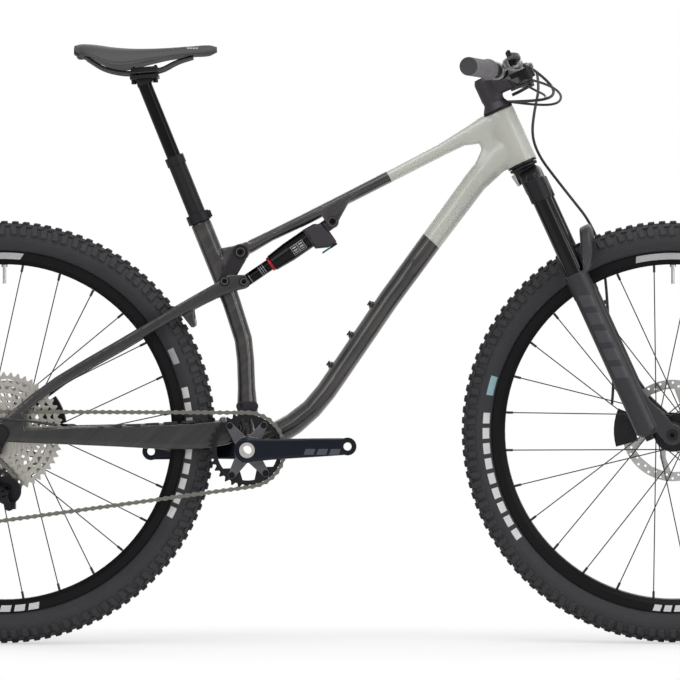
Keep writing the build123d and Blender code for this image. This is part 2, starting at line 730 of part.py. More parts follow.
def rear_axle():
    """The through axle, with the hub's fixed sleeve and end caps."""
    axle = across(0, 0, REAR_AXLE_R, -DROPOUT_OUT, DROPOUT_OUT)
    axle += across(0, 0, HUB_SLEEVE_R, -REAR_HALF, REAR_HALF)
    axle += across(0, 0, 14.0, REAR_HALF - 9.5, REAR_HALF)
    axle += across(0, 0, 12.5, -REAR_HALF, -REAR_HALF + 3)
    axle += across(0, 0, 9.5, DROPOUT_OUT + SEAT_GAP, DROPOUT_OUT + 3)
    axle += across(0, 0, REAR_AXLE_R, DROPOUT_OUT, DROPOUT_OUT + 1)
    return at_rear(axle)


def hanger():
    """The derailleur's hanger, outside the right dropout, with the bolt at its foot."""
    outer = -DROPOUT_OUT - SEAT_GAP
    plate = link_plate((REAR_X, AXLE_Z), HANGER_BOLT, 16.0, 10.0, outer - 6.0, outer)
    plate -= across(REAR_X, AXLE_Z, REAR_AXLE_R + 0.5, -100, 0)
    plate += across(REAR_X, AXLE_Z, 14.0, outer - 6.0, outer - 9.0)
    return plate


def stay_bolts(pivot):
    """Short bolts in the stays' lugs, at the rocker or at the shock, one on each side."""
    bolt = across(*pivot, STAY_BOLT_R, STAY_LUG_IN + SEAT_GAP, STAY_LUG_OUT + 1)
    bolt += across(*pivot, STAY_HEAD_R, STAY_LUG_OUT + SEAT_GAP, STAY_LUG_OUT + 2.6)
    return bolt.solids() + mirrored(bolt).solids()


def rocker():
    """Two plates, one on each side of the seat tube."""
    plate = link_plate(ROCKER_PIVOT, STAY_PIVOT, 14.0, 12.0, ROCKER_IN, ROCKER_OUT)
    plate -= across(*ROCKER_PIVOT, PIVOT_PIN_R + FIT, 0, 40)
    return plate.solids() + mirrored(plate).solids()


def stay_protector():
    """A ribbed rubber strip on top of the right chainstay."""
    stay = mirrored(limb(CHAINSTAY_PATH, corner=5.0))
    strip = None
    for k in range(6):
        x = -262.0 - 32.0 * k
        y = -40.5 - max(0.0, (-300.0 - x) * 0.125)
        z = 388.6 - 0.062 * (-262.0 - x)
        bump = box((x, y, z + 2.2), (24.0, 10.0, 4.0), lean=-3.0) - stay
        strip = bump if strip is None else strip + bump
    return strip.solids()


save("rear_triangle", rear_triangle())
save("rear_fasteners", rear_axle(), *stay_bolts(STAY_PIVOT), *stay_bolts(SHOCK_LOWER))
save(
    "frame_pivot_bolts",
    pivot_bolt(MAIN_PIVOT, PIVOT_PIN_R, PIVOT_HEAD_R, MAIN_LUG_OUT + GAP),
    pivot_bolt(ROCKER_PIVOT, PIVOT_PIN_R, 11.5, ROCKER_OUT + GAP),
    pivot_bolt(SHOCK_UPPER, SHOCK_PIN_R, 8.5, SHOCK_EAR_OUT + GAP),
)
save("rocker_link", *rocker())
save("chainstay_protector", *stay_protector())
save(
    "rear_caliper",
    at_rear(caliper((0, 0), ROTOR_REAR_Y, 8.5, 36.0, 64.0, 106.0, ROTOR_REAR_Y - 9, ROTOR_REAR_Y + 9)),
)


# ---- Cranks, chain and cassette --------------------------------------------------------
CUP_FLANGE_OUT = 43.5
BLADE_IN = 74.0
BLADE_OUT = 87.0
RING_Y = -CHAIN_LINE
RING_BOLT_R = 52.0
RING_BOLT_ANGLES = (54, 124, -124, -54)
RING_EAR = ((51.0, 31.0), (24.0, 31.0), (15.0, 34.0), (9.5, 56.0), (36.0, 45.0))
SPIDER_IN = 54.2
SPIDER_OUT = 60.0
RIBBON_GAP = 1.1  # from the chain's middle to the inside of its plates
RIBBON_THICK = 1.2
RIBBON_HALF = 4.0
ROLLER_R = 1.9
GUIDE = (-591.0, 284.0)
TENSION = (-652.0, 236.0)
PULLEY_TEETH = 13
DRIVER_R = 13.0


def on_crank(shape):
    """A crank piece made about the origin with its arm along +X, in the rest pose."""
    return shape.rotate(Axis.Y, -CRANK_REST).translate((BB_X, 0, BB_Z))


def toothed(teeth, root=3.7, tip=2.6):
    """The outline of a sprocket, as (x, z) points about its centre."""
    radius = pitch_radius(teeth)
    outline = []
    step = 2 * pi / teeth
    for k in range(teeth):
        for share, out in ((0.04, -root), (0.30, -root), (0.60, tip), (0.74, tip)):
            r = radius + out
            angle = step * (k + share)
            outline.append((r * cos(angle), r * sin(angle)))
    return outline


def crank_arm():
    """The left arm along +X, its boss and its pedal end, about the axle."""
    arm = limb(
        (
            (-8.0, 66.0, 0.0, 44.0, 24.0),
            (30.0, 72.0, 0.0, 38.0, 20.0),
            (80.0, 78.0, 0.0, 34.5, 15.0),
            (130.0, 80.5, 0.0, 32.0, 13.0),
            (CRANK_LENGTH + 3, 80.5, 0.0, 29.0, 13.0),
        ),
        corner=5.0,
        ruled=False,
    )
    arm += across(0, 0, 22.0, 46.0, 77.0)
    arm += across(CRANK_LENGTH, 0, 15.6, BLADE_IN, BLADE_OUT)
    arm -= across(CRANK_LENGTH, 0, PEDAL_BORE, 60, 100)
    arm -= across(0, 0, SPINDLE_R + SEAT_GAP, 0, 100)
    return arm


def crank_right():
    arm = mirrored(crank_arm())
    for angle in RING_BOLT_ANGLES:
        turn = radians(angle)
        tip = (RING_BOLT_R * cos(turn), RING_BOLT_R * sin(turn))
        arm += link_plate((0.0, 0.0), tip, 15.0, 6.5, -SPIDER_OUT, -SPIDER_IN)
        arm -= across(*tip, 4.1, -70, -40)
    arm -= across(0, 0, SPINDLE_R + SEAT_GAP, -100, 0)
    arm -= across(0, 0, 13.5 + GAP, -77.9, -100)
    return on_crank(arm)


def chainring():
    """The toothed ring, with four ears for its bolts."""
    back, face = RING_Y + TOOTH_THICK / 2, -SPIDER_IN + SEAT_GAP
    ring = pierced((0, 0), toothed(RING_TEETH), 55.5, [], RING_Y - TOOTH_THICK / 2, back)
    ring += pierced((0, 0), 59.0, 53.5, [], face, back)
    ears = None
    for across_x in SIDES:
        for up_z in SIDES:
            ear = slab([(across_x * x, up_z * z) for x, z in RING_EAR], face, back)
            ears = ear if ears is None else ears + ear
    ring += ears & across(0, 0, 57.0, face, back)
    for angle in RING_BOLT_ANGLES:
        turn = radians(angle)
        x, z = RING_BOLT_R * cos(turn), RING_BOLT_R * sin(turn)
        ring += across(x, z, 7.0, face, back)
        ring -= across(x, z, 4.1, -70, -40)
    return on_crank(ring)


def ring_bolts():
    bolts = []
    for angle in RING_BOLT_ANGLES:
        turn = radians(angle)
        x, z = RING_BOLT_R * cos(turn), RING_BOLT_R * sin(turn)
        bolt = across(x, z, 4.0, -SPIDER_OUT - 1, RING_Y + TOOTH_THICK / 2 + 0.5)
        bolt += across(x, z, 5.5, -SPIDER_OUT - SEAT_GAP, -SPIDER_OUT - 1.2)
        bolts.append(on_crank(bolt))
    return bolts


def spindle():
    """The hollow axle through both arms, with a threaded collar on the right."""
    axle = across(0, 0, SPINDLE_R, -79.0, 79.0)
    axle += across(0, 0, 13.5, -BLADE_OUT + 9, -BLADE_OUT + 6) - across(0, 0, 5, -100, 0)
    axle -= across(0, 0, SPINDLE_R - 1.5, -72, 100)
    axle -= across(0, 0, 7.9, -100, -60)
    return on_crank(axle)


def bottom_bracket():
    """The two bearing cups in the frame's shell."""
    cup = across(BB_X, BB_Z, CUP_BORE_R - SEAT_GAP, 22.0, BB_SHELL_HALF + 1)
    cup += across(BB_X, BB_Z, 20.5, BB_SHELL_HALF + SEAT_GAP, CUP_FLANGE_OUT)
    cup -= across(BB_X, BB_Z, SPINDLE_R + FIT, 0, 60)
    return cup.solids() + mirrored(cup).solids()


def cog_y(i):
    return -CHAIN_LINE + COG_PITCH_Y * (i - COG_IN_USE)


def cassette():
    """Twelve sprockets on a stepped carrier, the big ones open between six arms."""
    pieces = []
    for i, teeth in enumerate(COGS):
        y = cog_y(i)
        rim_in = pitch_radius(teeth) - 9.0
        holes = []
        if rim_in > 38:
            for k in range(6):
                window = []
                inner = [(angle, 27.0) for angle in (8, 30, 52)]
                outer = [(angle, rim_in) for angle in (54, 30, 6)]
                for angle, r in inner + outer:
                    turn = radians(60 * k + angle + 5 * i)
                    window.append((r * cos(turn), r * sin(turn)))
                holes.append(window)
        low, high = y - TOOTH_THICK / 2, y + TOOTH_THICK / 2
        pieces.append(pierced((REAR_X, AXLE_Z), toothed(teeth), DRIVER_R + FIT, holes, low, high))
    whole = pieces[0]
    for piece in pieces[1:]:
        whole = whole + piece
    for i in range(len(COGS) - 1):
        y = cog_y(i)
        radius = min(22.0, pitch_radius(COGS[i]) - 4.6)
        spacer = across(REAR_X, AXLE_Z, radius, y + TOOTH_THICK / 2, y + COG_PITCH_Y - TOOTH_THICK / 2)
        whole += spacer - across(REAR_X, AXLE_Z, DRIVER_R + FIT, -100, 0)
    return whole


def freewheel_body():
    low = cog_y(0) - 3.0
    body = across(REAR_X, AXLE_Z, DRIVER_R, low, DRIVER_TOP_Y)
    body += across(REAR_X, AXLE_Z, 15.5, low - 1.4, cog_y(0) - TOOTH_THICK / 2 - SEAT_GAP)
    return body - across(REAR_X, AXLE_Z, HUB_FIT, -100, 0)


def loop_points(wheels):
    """Where a belt meets and leaves each wheel; wheels are (x, z, radius, turn).

    The turn is 1 where the belt goes anticlockwise in the XZ plane and -1 where clockwise.
    """
    leave, meet = [], []
    count = len(wheels)
    for i in range(count):
        ax, az, ar, at = wheels[i]
        bx, bz, br, bt = wheels[(i + 1) % count]
        dx, dz = bx - ax, bz - az
        length = hypot(dx, dz)
        lean = acos(max(-1.0, min(1.0, (at * ar - bt * br) / length)))
        base = atan2(dz, dx) - lean
        leave.append((base, at))
        meet.append((base, bt))
    stations = []
    for i in range(count):
        normal_in, turn = meet[i - 1]
        normal_out, _ = leave[i]
        stations.append((normal_in, normal_out, turn))
    return stations


def loop_wire(wheels, offset, y):
    """The closed outline of the belt, moved outwards by an offset."""
    stations = loop_points(wheels)
    edges = []
    ends = []
    for (x, z, radius, turn), (angle_in, angle_out, _) in zip(wheels, stations):
        # the normals point to the right of travel, away from an anticlockwise wheel
        reach = turn * radius + offset
        if turn > 0:
            sweep_angle = (angle_out - angle_in) % (2 * pi)
        else:
            sweep_angle = -((angle_in - angle_out) % (2 * pi))
        middle = angle_in + sweep_angle / 2
        angles = (angle_in, middle, angle_in + sweep_angle)
        ends.append([(x + reach * cos(a), y, z + reach * sin(a)) for a in angles])
    for i, (start, middle, end) in enumerate(ends):
        edges.append(Edge.make_three_point_arc(start, middle, end))
        edges.append(Edge.make_line(end, ends[(i + 1) % len(ends)][0]))
    return Wire(edges)


def chain_wheels():
    """The wheels that the chain goes round, in order from the chainring."""
    return (
        (BB_X, BB_Z, pitch_radius(RING_TEETH), 1),
        (REAR_X, AXLE_Z, pitch_radius(COGS[COG_IN_USE]), 1),
        (*GUIDE, pitch_radius(PULLEY_TEETH), -1),
        (*TENSION, pitch_radius(PULLEY_TEETH), 1),
    )


def chain():
    """Two bands of plates along the whole loop, joined by rollers on the free runs."""
    wheels = chain_wheels()
    bands = None
    for side in SIDES:
        near = -CHAIN_LINE + side * RIBBON_GAP
        low = min(near, near + side * RIBBON_THICK)
        outer = loop_wire(wheels, RIBBON_HALF, low)
        inner = loop_wire(wheels, -RIBBON_HALF, low)
        band = extrude(Face(outer, [inner]), amount=RIBBON_THICK, dir=(0, 1, 0))
        bands = band if bands is None else bands + band
    stations = loop_points(wheels)
    rollers = []
    for i in (0, 3):
        x, z, radius, turn = wheels[i]
        bx, bz, b_radius, b_turn = wheels[(i + 1) % 4]
        start = stations[i][1]
        end = stations[(i + 1) % 4][0]
        a = Vector(x + turn * radius * cos(start), 0, z + turn * radius * sin(start))
        b = Vector(bx + b_turn * b_radius * cos(end), 0, bz + b_turn * b_radius * sin(end))
        along = b - a
        count = int(along.length // PITCH)
        for k in range(2, count - 1):
            p = a + along.normalized() * (PITCH * k)
            reach = RIBBON_GAP + RIBBON_THICK / 2
            rollers.append(across(p.X, p.Z, ROLLER_R, -CHAIN_LINE - reach, -CHAIN_LINE + reach))
    return bands.fuse(*rollers)


save("crank_arms", crank_right(), on_crank(crank_arm().rotate(Axis.Y, 180)))
save("crank_spindle", spindle(), *ring_bolts())
save("chainring", chainring())
save("frame_bearings", *bottom_bracket(), *headset_bearings())
save("cassette", cassette(), freewheel_body())
save("chain", chain())


# ---- Rear derailleur -------------------------------------------------------------------
LINK_BACK = (-632.0, 298.0)
LINK_FRONT = (-579.0, 270.5)
LINK_BACK_Y = -84.0
LINK_FRONT_Y = -78.0
LINK_AXIS = Vector(0.141, 0.875, 0.463).normalized()
CAGE_PIVOT = (-577.0, 270.5)
CAGE_OUT_Y = -58.6
CAGE_IN_Y = -45.6
CAGE_THICK = 1.6


def tilted(point, radius, start, end):
    """A cylinder along the links' slanted pivot axis, through a point."""
    point = Vector(*point)
    return rod(point + LINK_AXIS * start, point + LINK_AXIS * end, radius)


def derailleur_mount():
    """The part bolted to the hanger; it holds the back pivots of the links."""
    hx, hz = HANGER_BOLT
    y = -DROPOUT_OUT - SEAT_GAP - 6.0 - SEAT_GAP
    body = across(hx, hz, 12.0, y - 10.0, y)
    back = (LINK_BACK[0], LINK_BACK_Y, LINK_BACK[1])
    arm = limb(
        (
            (hx - 4, y - 5.0, hz - 4, 20.0, 9.0),
            (hx - 22, y - 6.0, hz - 22, 17.0, 9.0),
            (LINK_BACK[0] - 4, y - 11.7, LINK_BACK[1] + 5, 17.0, 9.0),
        ),
        corner=4.0,
    )
    body += arm
    body += tilted(back, 8.0, -22.0, -10.4)
    body += tilted(back, 8.0, 10.4, 18.0)
    body += tilted(back, 3.0, -21.0, 17.0)
    bridge = tilted((LINK_BACK[0] - 12.0, LINK_BACK_Y, LINK_BACK[1] + 5.0), 4.5, -20.0, 17.0)
    body += bridge
    body += across(hx, hz, 6.5, y - 10.0, y - 12.5)
    return body


def derailleur_links():
    """The parallelogram's arms, between the back and the front pivots."""
    back = Vector(LINK_BACK[0], LINK_BACK_Y, LINK_BACK[1])
    front = Vector(LINK_FRONT[0], LINK_FRONT_Y, LINK_FRONT[1])
    links = None
    for low, high in ((-10.0, -6.0), (6.0, 10.0)):
        arm = tilted(tuple(back), 7.0, low, high) + tilted(tuple(front), 7.0, low, high)
        middle = (low + high) / 2
        start, end = back + LINK_AXIS * middle, front + LINK_AXIS * middle
        along = (end - start).normalized()
        place = Plane(origin=(start + end) * 0.5, x_dir=along, z_dir=LINK_AXIS)
        arm += place * Box((end - start).length, 13.0, high - low)
        links = arm if links is None else links + arm
    start, end = back + (front - back) * 0.3, back + (front - back) * 0.62
    along = (end - start).normalized()
    place = Plane(origin=(start + end) * 0.5, x_dir=along, z_dir=LINK_AXIS)
    links += place * Box((end - start).length, 9.0, 14.0)
    links -= tilted(tuple(back), 3.0 + FIT, -40, 40)
    links -= tilted(tuple(front), 3.0 + FIT, -40, 40)
    return links


def derailleur_knuckle():
    """The knuckle at the front of the links, with the cage's pivot and its round cover."""
    front = (LINK_FRONT[0], LINK_FRONT_Y, LINK_FRONT[1])
    body = tilted(front, 3.0, -15.0, 15.0)
    body += tilted(front, 7.0, -15.0, -10.4)
    x, z = CAGE_PIVOT
    near = CAGE_OUT_Y - CAGE_THICK - GAP
    body += across(x, z, 24.0, near, near - 2.6)
    body += tilted(front, 7.0, 10.4, 14.0)
    body += across(x + 4, z - 26, 8.0, near, near - 20.0)
    body += box((x + 10, near - 11.0, z - 25), (10.0, 22.0, 12.0))
    body += limb(
        (
            (x + 6, near - 19, z - 27, 13.0, 9.0),
            (x + 1, -90.0, z - 20, 12.0, 7.0),
            (x - 3, -90.5, z - 9, 11.0, 5.0),
        ),
        corner=3.0,
    )
    return body


def cage_plate(y):
    """One plate of the cage, from the guide pulley past the pivot to the tension pulley."""
    low, high = y - CAGE_THICK / 2, y + CAGE_THICK / 2
    plate = link_plate(GUIDE, TENSION, 12.0, 10.0, low, high)
    plate -= link_plate(
        (GUIDE[0] * 0.72 + TENSION[0] * 0.28, GUIDE[1] * 0.72 + TENSION[1] * 0.28),
        (GUIDE[0] * 0.3 + TENSION[0] * 0.7, GUIDE[1] * 0.3 + TENSION[1] * 0.7),
        4.5,
        4.0,
        low - 1,
        high + 1,
    )
    return plate


def derailleur_cage():
    """Two plates joined by the pulleys' bolts; the outer one turns on the knuckle's pivot."""
    outer = CAGE_OUT_Y - CAGE_THICK / 2
    inner = CAGE_IN_Y + CAGE_THICK / 2
    cage = cage_plate(outer) + cage_plate(inner)
    cage += link_plate(GUIDE, CAGE_PIVOT, 12.0, 20.0, CAGE_OUT_Y - CAGE_THICK, CAGE_OUT_Y)
    for x, z in (GUIDE, TENSION):
        cage += across(x, z, 4.0, CAGE_OUT_Y - CAGE_THICK - 0.3, CAGE_IN_Y + CAGE_THICK + 1.5)
    return cage


def pulley():
    """A toothed pulley about the origin."""
    return pierced(
        (0, 0),
        toothed(PULLEY_TEETH, root=3.4, tip=2.2),
        4.0 + FIT,
        [(14.5 * cos(radians(72 * k)), 14.5 * sin(radians(72 * k)), 3.2) for k in range(5)],
        -0.9,
        0.9,
    )


def jockey(place):
    wheel = pulley() + (across(0, 0, 7.0, -2.6, 2.6) - across(0, 0, 4.0 + FIT, -9, 9))
    return wheel.translate((place[0], -CHAIN_LINE, place[1]))


# ---- Rear shock ------------------------------------------------------------------------
SHOCK_LENGTH = hypot(SHOCK_UPPER[0] - SHOCK_LOWER[0], SHOCK_UPPER[1] - SHOCK_LOWER[1])
SHOCK_SHAFT_R = 10.5
SHAFT_END = 96.0  # from the lower eye, like the places below
SEAL_START = 53.5
CAN_START = 58.8
CAN_FULL = 95.0
HEAD_START = 136.0
CAN_MOUTH_R = 15.0
CAN_R = 17.7
SEAL_RING_R = 13.2
NECK_R = 11.0
HEAD_HALF = 16.5
HEAD_BLOCK = (
    # t, n of the cast head with its side chamber, which hangs below the upper eye
    (136.0, 17.5),
    (158.0, 15.5),
    (170.0, 7.0),
    (174.0, -14.0),
    (174.0, -33.0),
    (156.0, -33.0),
    (147.0, -28.0),
    (136.0, -22.0),
)
LEVER_T = 166.0
LEVER_PIN_R = 2.5


def shock_point(t, n=0.0, y=0.0):
    """A point t from the lower eye towards the upper one, n above the shock's axis."""
    ux = (SHOCK_UPPER[0] - SHOCK_LOWER[0]) / SHOCK_LENGTH
    uz = (SHOCK_UPPER[1] - SHOCK_LOWER[1]) / SHOCK_LENGTH
    return (SHOCK_LOWER[0] + ux * t - uz * n, y, SHOCK_LOWER[1] + uz * t + ux * n)


def shock_rod(a, b, radius):
    return rod(shock_point(a), shock_point(b), radius)


def shock_head():
    outline = [shock_point(t, n) for t, n in HEAD_BLOCK]
    head = slab([(x, z) for x, _, z in outline], -HEAD_HALF, HEAD_HALF)
    rims = [edge for edge in head.edges() if abs(edge.center().Y) > HEAD_HALF - 0.1]
    return chamfer(rims, 4.0)


def shock_body():
    """The air can with its red seal, the head and the upper eye, bored for the shaft."""
    body = cone(shock_point(CAN_START), shock_point(CAN_FULL), CAN_MOUTH_R, CAN_R)
    body += shock_rod(CAN_FULL, HEAD_START + 1, CAN_R)
    body += shock_rod(SEAL_START, CAN_START + 1, SEAL_RING_R)
    body += shock_head()
    body += shock_rod(HEAD_START, SHOCK_LENGTH - 4, NECK_R)
    body += across(*SHOCK_UPPER, 11.0, -SHOCK_EAR_IN + GAP, SHOCK_EAR_IN - GAP)
    body -= across(*SHOCK_UPPER, SHOCK_PIN_R + FIT, -30, 30)
    body -= rod(shock_point(LEVER_T, -25.0), shock_point(LEVER_T, -40.0), LEVER_PIN_R + FIT)
    return body - shock_rod(SEAL_START - 5, HEAD_START + 16, SHOCK_SHAFT_R + FIT)


def shock_shaft():
    """The shaft with the lower eye and its pin."""
    shaft = shock_rod(6, SHAFT_END, SHOCK_SHAFT_R)
    shaft += across(*SHOCK_LOWER, 11.0, -12.0, 12.0)
    shaft += across(*SHOCK_LOWER, 5.0, -STAY_LUG_IN + GAP, STAY_LUG_IN - GAP)
    return shaft


def shock_lever():
    """The firmness lever under the side chamber: its pin, a disc and a flat bar."""
    lever = rod(shock_point(LEVER_T, -26.0), shock_point(LEVER_T, -36.0), LEVER_PIN_R)
    lever += rod(shock_point(LEVER_T, -33.0 - GAP), shock_point(LEVER_T, -37.4), 7.0)
    near, far = Vector(*shock_point(LEVER_T, -35.4)), Vector(*shock_point(142.0, -35.4))
    along = (far - near).normalized()
    place = Plane(origin=(near + far) * 0.5, x_dir=along, z_dir=along.cross(Vector(0, 1, 0)))
    return lever + place * Box((far - near).length, 7.0, 3.2)


save("derailleur_mount", hanger(), derailleur_mount())
save("derailleur_links", derailleur_links())
save("derailleur_knuckle", derailleur_knuckle())
save("derailleur_cage", derailleur_cage())
save("guide_pulley", jockey(GUIDE))
save("tension_pulley", jockey(TENSION))
save("derailleur_housing", hose(DERAILLEUR_HOUSING, HOUSING_R))
save("shock_body", shock_body())
save("shock_shaft", shock_shaft())
save("shock_lever", shock_lever())


# ---- Fork ------------------------------------------------------------------------------
CROWN_TOP = -60.0
RACE_DISC_R = 25.5
LEG_BORE_R = STANCHION_R + 0.6
SLEEVE_TOP = -86.0
SLEEVE_BOTTOM = -125.0
SLEEVE_R = 19.5
SEAL_TOP = -265.0
LEG_TOP = -278.0
LEG_R = 20.0
LEG_BOTTOM = -566.0
STANCHION_BOTTOM = -436.0
CALIPER_OUT = 45.9
LUG_OUT = 75.0
FORK_LUG = (
    # t, n of the axle's lug
    (-480.0, 4.0),
    (-480.0, 27.0),
    (-520.0, 34.0),
    (-560.0, 50.0),
    (-600.0, 58.0),
    (-606.0, 38.0),
    (-586.0, 25.0),
    (-574.0, 21.5),
    (-566.0, 12.0),
)
ARCH_PATH = (
    # t, n, y, height, depth
    (-276.0, 10.0, 72.0, 20.0, 24.0),
    (-256.0, 30.0, 67.0, 20.0, 22.0),
    (-228.0, 46.0, 52.0, 18.0, 22.0),
    (-207.0, 53.0, 26.0, 17.0, 22.0),
    (-203.5, 54.0, 0.0, 17.0, 22.0),
)


def fork_crown():
    """The steerer and the crown, bored for the stanchions."""
    crown = rod(fork(-70, 0, 0), fork(112, 0, 0), STEERER_R)
    crown += cone(fork(-44, 0, 0), fork(-10, 0, 0), CROWN_RACE_R, STEERER_R)
    crown += rod(fork(-75, 0, 0), fork(-44, 0, 0), CROWN_RACE_R)
    crown += rod(fork(CROWN_TOP, 0, 0), fork(-54.2, 0, 0), RACE_DISC_R)
    arms = (
        (-107.0, CROWN_OFFSET, 74.0, 34.0, 36.0),
        (-102.0, CROWN_OFFSET, 56.0, 38.0, 36.0),
        (-88.0, CROWN_OFFSET - 2, 30.0, 38.0, 40.0),
        (-79.0, CROWN_OFFSET - 1, 0.0, 34.0, 40.0),
    )
    sections = []
    for t, n, y, height, depth in arms + tuple((t, n, -y, h, d) for t, n, y, h, d in arms[2::-1]):
        place = Plane(origin=fork(t, n, y), x_dir=tuple(HEAD_FORE), z_dir=(0, 1, 0))
        sections.append(place * RectangleRounded(depth, height, 11.0))
    crown += loft(sections)
    for side in SIDES:
        y = side * LEG_Y
        crown += rod(fork(SLEEVE_BOTTOM, CROWN_OFFSET, y), fork(SLEEVE_TOP, CROWN_OFFSET, y), SLEEVE_R)
    for side in SIDES:
        y = side * LEG_Y
        low = fork(SLEEVE_BOTTOM - 5, CROWN_OFFSET, y)
        crown -= rod(low, fork(SLEEVE_TOP - 6, CROWN_OFFSET, y), STANCHION_R + SEAT_GAP)
        crown -= rod(fork(SLEEVE_TOP - 8, CROWN_OFFSET, y), fork(SLEEVE_TOP + 30, CROWN_OFFSET, y), 12.0)
    crown -= rod(fork(-130, 0, 0), fork(130, 0, 0), STEERER_R - 3.0)
    return crown


def stanchions():
    tubes = []
    for side in SIDES:
        y = side * LEG_Y
        low = fork(STANCHION_BOTTOM, CROWN_OFFSET, y)
        tubes.append(rod(low, fork(SLEEVE_TOP - 6 - SEAT_GAP, CROWN_OFFSET, y), STANCHION_R))
    return tubes


def air_cap():
    """The cap on the left leg's air side."""
    y = LEG_Y
    return rod(fork(SLEEVE_TOP - 6 + SEAT_GAP, CROWN_OFFSET, y), fork(SLEEVE_TOP + 6, CROWN_OFFSET, y), 11.8)


def compression_dial():
    y = -LEG_Y
    dial = rod(fork(SLEEVE_TOP - 5, CROWN_OFFSET, y), fork(SLEEVE_TOP + 5, CROWN_OFFSET, y), 11.5)
    return dial + rod(fork(SLEEVE_TOP + 4, CROWN_OFFSET, y), fork(SLEEVE_TOP + 10, CROWN_OFFSET, y), 8.5)


def crown_bumper(crown):
    """A rubber pad behind the crown, that meets the down tube at full lock."""
    return rod(fork(-62.5, -21.0, 0), fork(-84.0, -17.0, 0), 6.5) - crown


def fork_leg():
    """The left lower leg with its dropout."""
    y = LEG_Y
    leg = rod(fork(LEG_BOTTOM, CROWN_OFFSET, y), fork(LEG_TOP, CROWN_OFFSET, y), LEG_R)
    leg += cone(fork(LEG_BOTTOM - 9, CROWN_OFFSET, y), fork(LEG_BOTTOM, CROWN_OFFSET, y), 12.0, LEG_R)
    leg += fork_slab(FORK_LUG, FRONT_HALF + SEAT_GAP, LUG_OUT)
    axle = fork(-FORK_SPAN, RAKE, 0)
    leg += across(axle[0], axle[2], 18.0, FRONT_HALF + SEAT_GAP, LUG_OUT)
    leg -= rod(fork(-562, CROWN_OFFSET, y), fork(-200, CROWN_OFFSET, y), LEG_BORE_R)
    leg -= across(axle[0], axle[2], FRONT_AXLE_R + SEAT_GAP, 40, 90)
    return leg


def fork_lowers():
    lowers = pair(fork_leg())
    half = [(*fork(t, n, y), depth, height) for t, n, y, height, depth in ARCH_PATH]
    whole = half + [(x, -y, z, d, h) for x, y, z, d, h in half[-2::-1]]
    points = [Vector(*station[:3]) for station in whole]
    sections = []
    for i, (_, _, _, depth, height) in enumerate(whole):
        along = points[min(i + 1, len(points) - 1)] - points[max(i - 1, 0)]
        place = Plane(origin=points[i], x_dir=tuple(HEAD_FORE), z_dir=along)
        sections.append(place * RectangleRounded(depth, height, 6.0))
    arch = loft(sections)
    for side in SIDES:
        y = side * LEG_Y
        arch -= rod(fork(-400, CROWN_OFFSET, y), fork(-100, CROWN_OFFSET, y), STANCHION_R + 4.2)
        low, high = fork(LEG_TOP - 30, CROWN_OFFSET, y), fork(LEG_TOP, CROWN_OFFSET, y)
        collar = rod(low, high, LEG_R + 1.0) - rod(low, high, LEG_BORE_R)
        arch += collar
    lowers += arch
    # the hose's clip on the left leg
    clip = rod(fork(-335, 21.1, 80.4), fork(-335, 32.5, 93), 4.2)
    lowers += clip - rod(fork(-305, 44, 93), fork(-365, 21, 93), HOSE_R + 0.3)
    # tabs for the brake, behind the left leg
    bore = rod(fork(-580, CROWN_OFFSET, LEG_Y), fork(-500, CROWN_OFFSET, LEG_Y), LEG_BORE_R)
    for t in (-532.0, -558.6):
        tab = rod(fork(t, -4, CALIPER_OUT + 5.1), fork(t, -34, CALIPER_OUT + 5.1), 5.0)
        lowers += tab - bore
    return lowers


def fork_seals():
    seals = []
    for side in SIDES:
        y = side * LEG_Y
        low, high = fork(LEG_TOP + SEAT_GAP, CROWN_OFFSET, y), fork(SEAL_TOP, CROWN_OFFSET, y)
        seals.append(rod(low, high, STANCHION_R + 3.8) - rod(low, high, STANCHION_R + FIT))
    return seals


def front_axle():
    axle = across(0, 0, FRONT_AXLE_R, -LUG_OUT - 1, LUG_OUT + 1)
    axle += across(0, 0, HUB_SLEEVE_R, -FRONT_HALF, FRONT_HALF)
    axle += across(0, 0, 12.0, -FRONT_HALF, -FRONT_HALF + 7.5)
    axle += across(0, 0, 12.0, FRONT_HALF - 7.5, FRONT_HALF)
    axle += across(0, 0, 9.0, -LUG_OUT - SEAT_GAP, -LUG_OUT - 3)
    return axle - across(0, 0, 4.0, -90, -66)


def rebound_dial():
    low, high = fork(LEG_BOTTOM - 17, CROWN_OFFSET, -LEG_Y), fork(LEG_BOTTOM - 9.4, CROWN_OFFSET, -LEG_Y)
    return rod(low, high, 9.0)


crown = fork_crown()
save("fork_crown", steered(crown), steered(crown_bumper(crown)))
save("fork_stanchions", *[steered(tube) for tube in stanchions()], steered(air_cap()))
save("compression_dial", steered(compression_dial()))
save("fork_lowers", steered(fork_lowers()), *[steered(seal) for seal in fork_seals()])
save("front_axle", at_front(front_axle()))
save("rebound_dial", steered(rebound_dial()))
save(
    "front_caliper",
    at_front(
        caliper((0, 0), ROTOR_FRONT_Y, 158.0, 196.0, 64.0, 104.0, ROTOR_FRONT_Y - 10, CALIPER_OUT - 2.5)
    ),
)


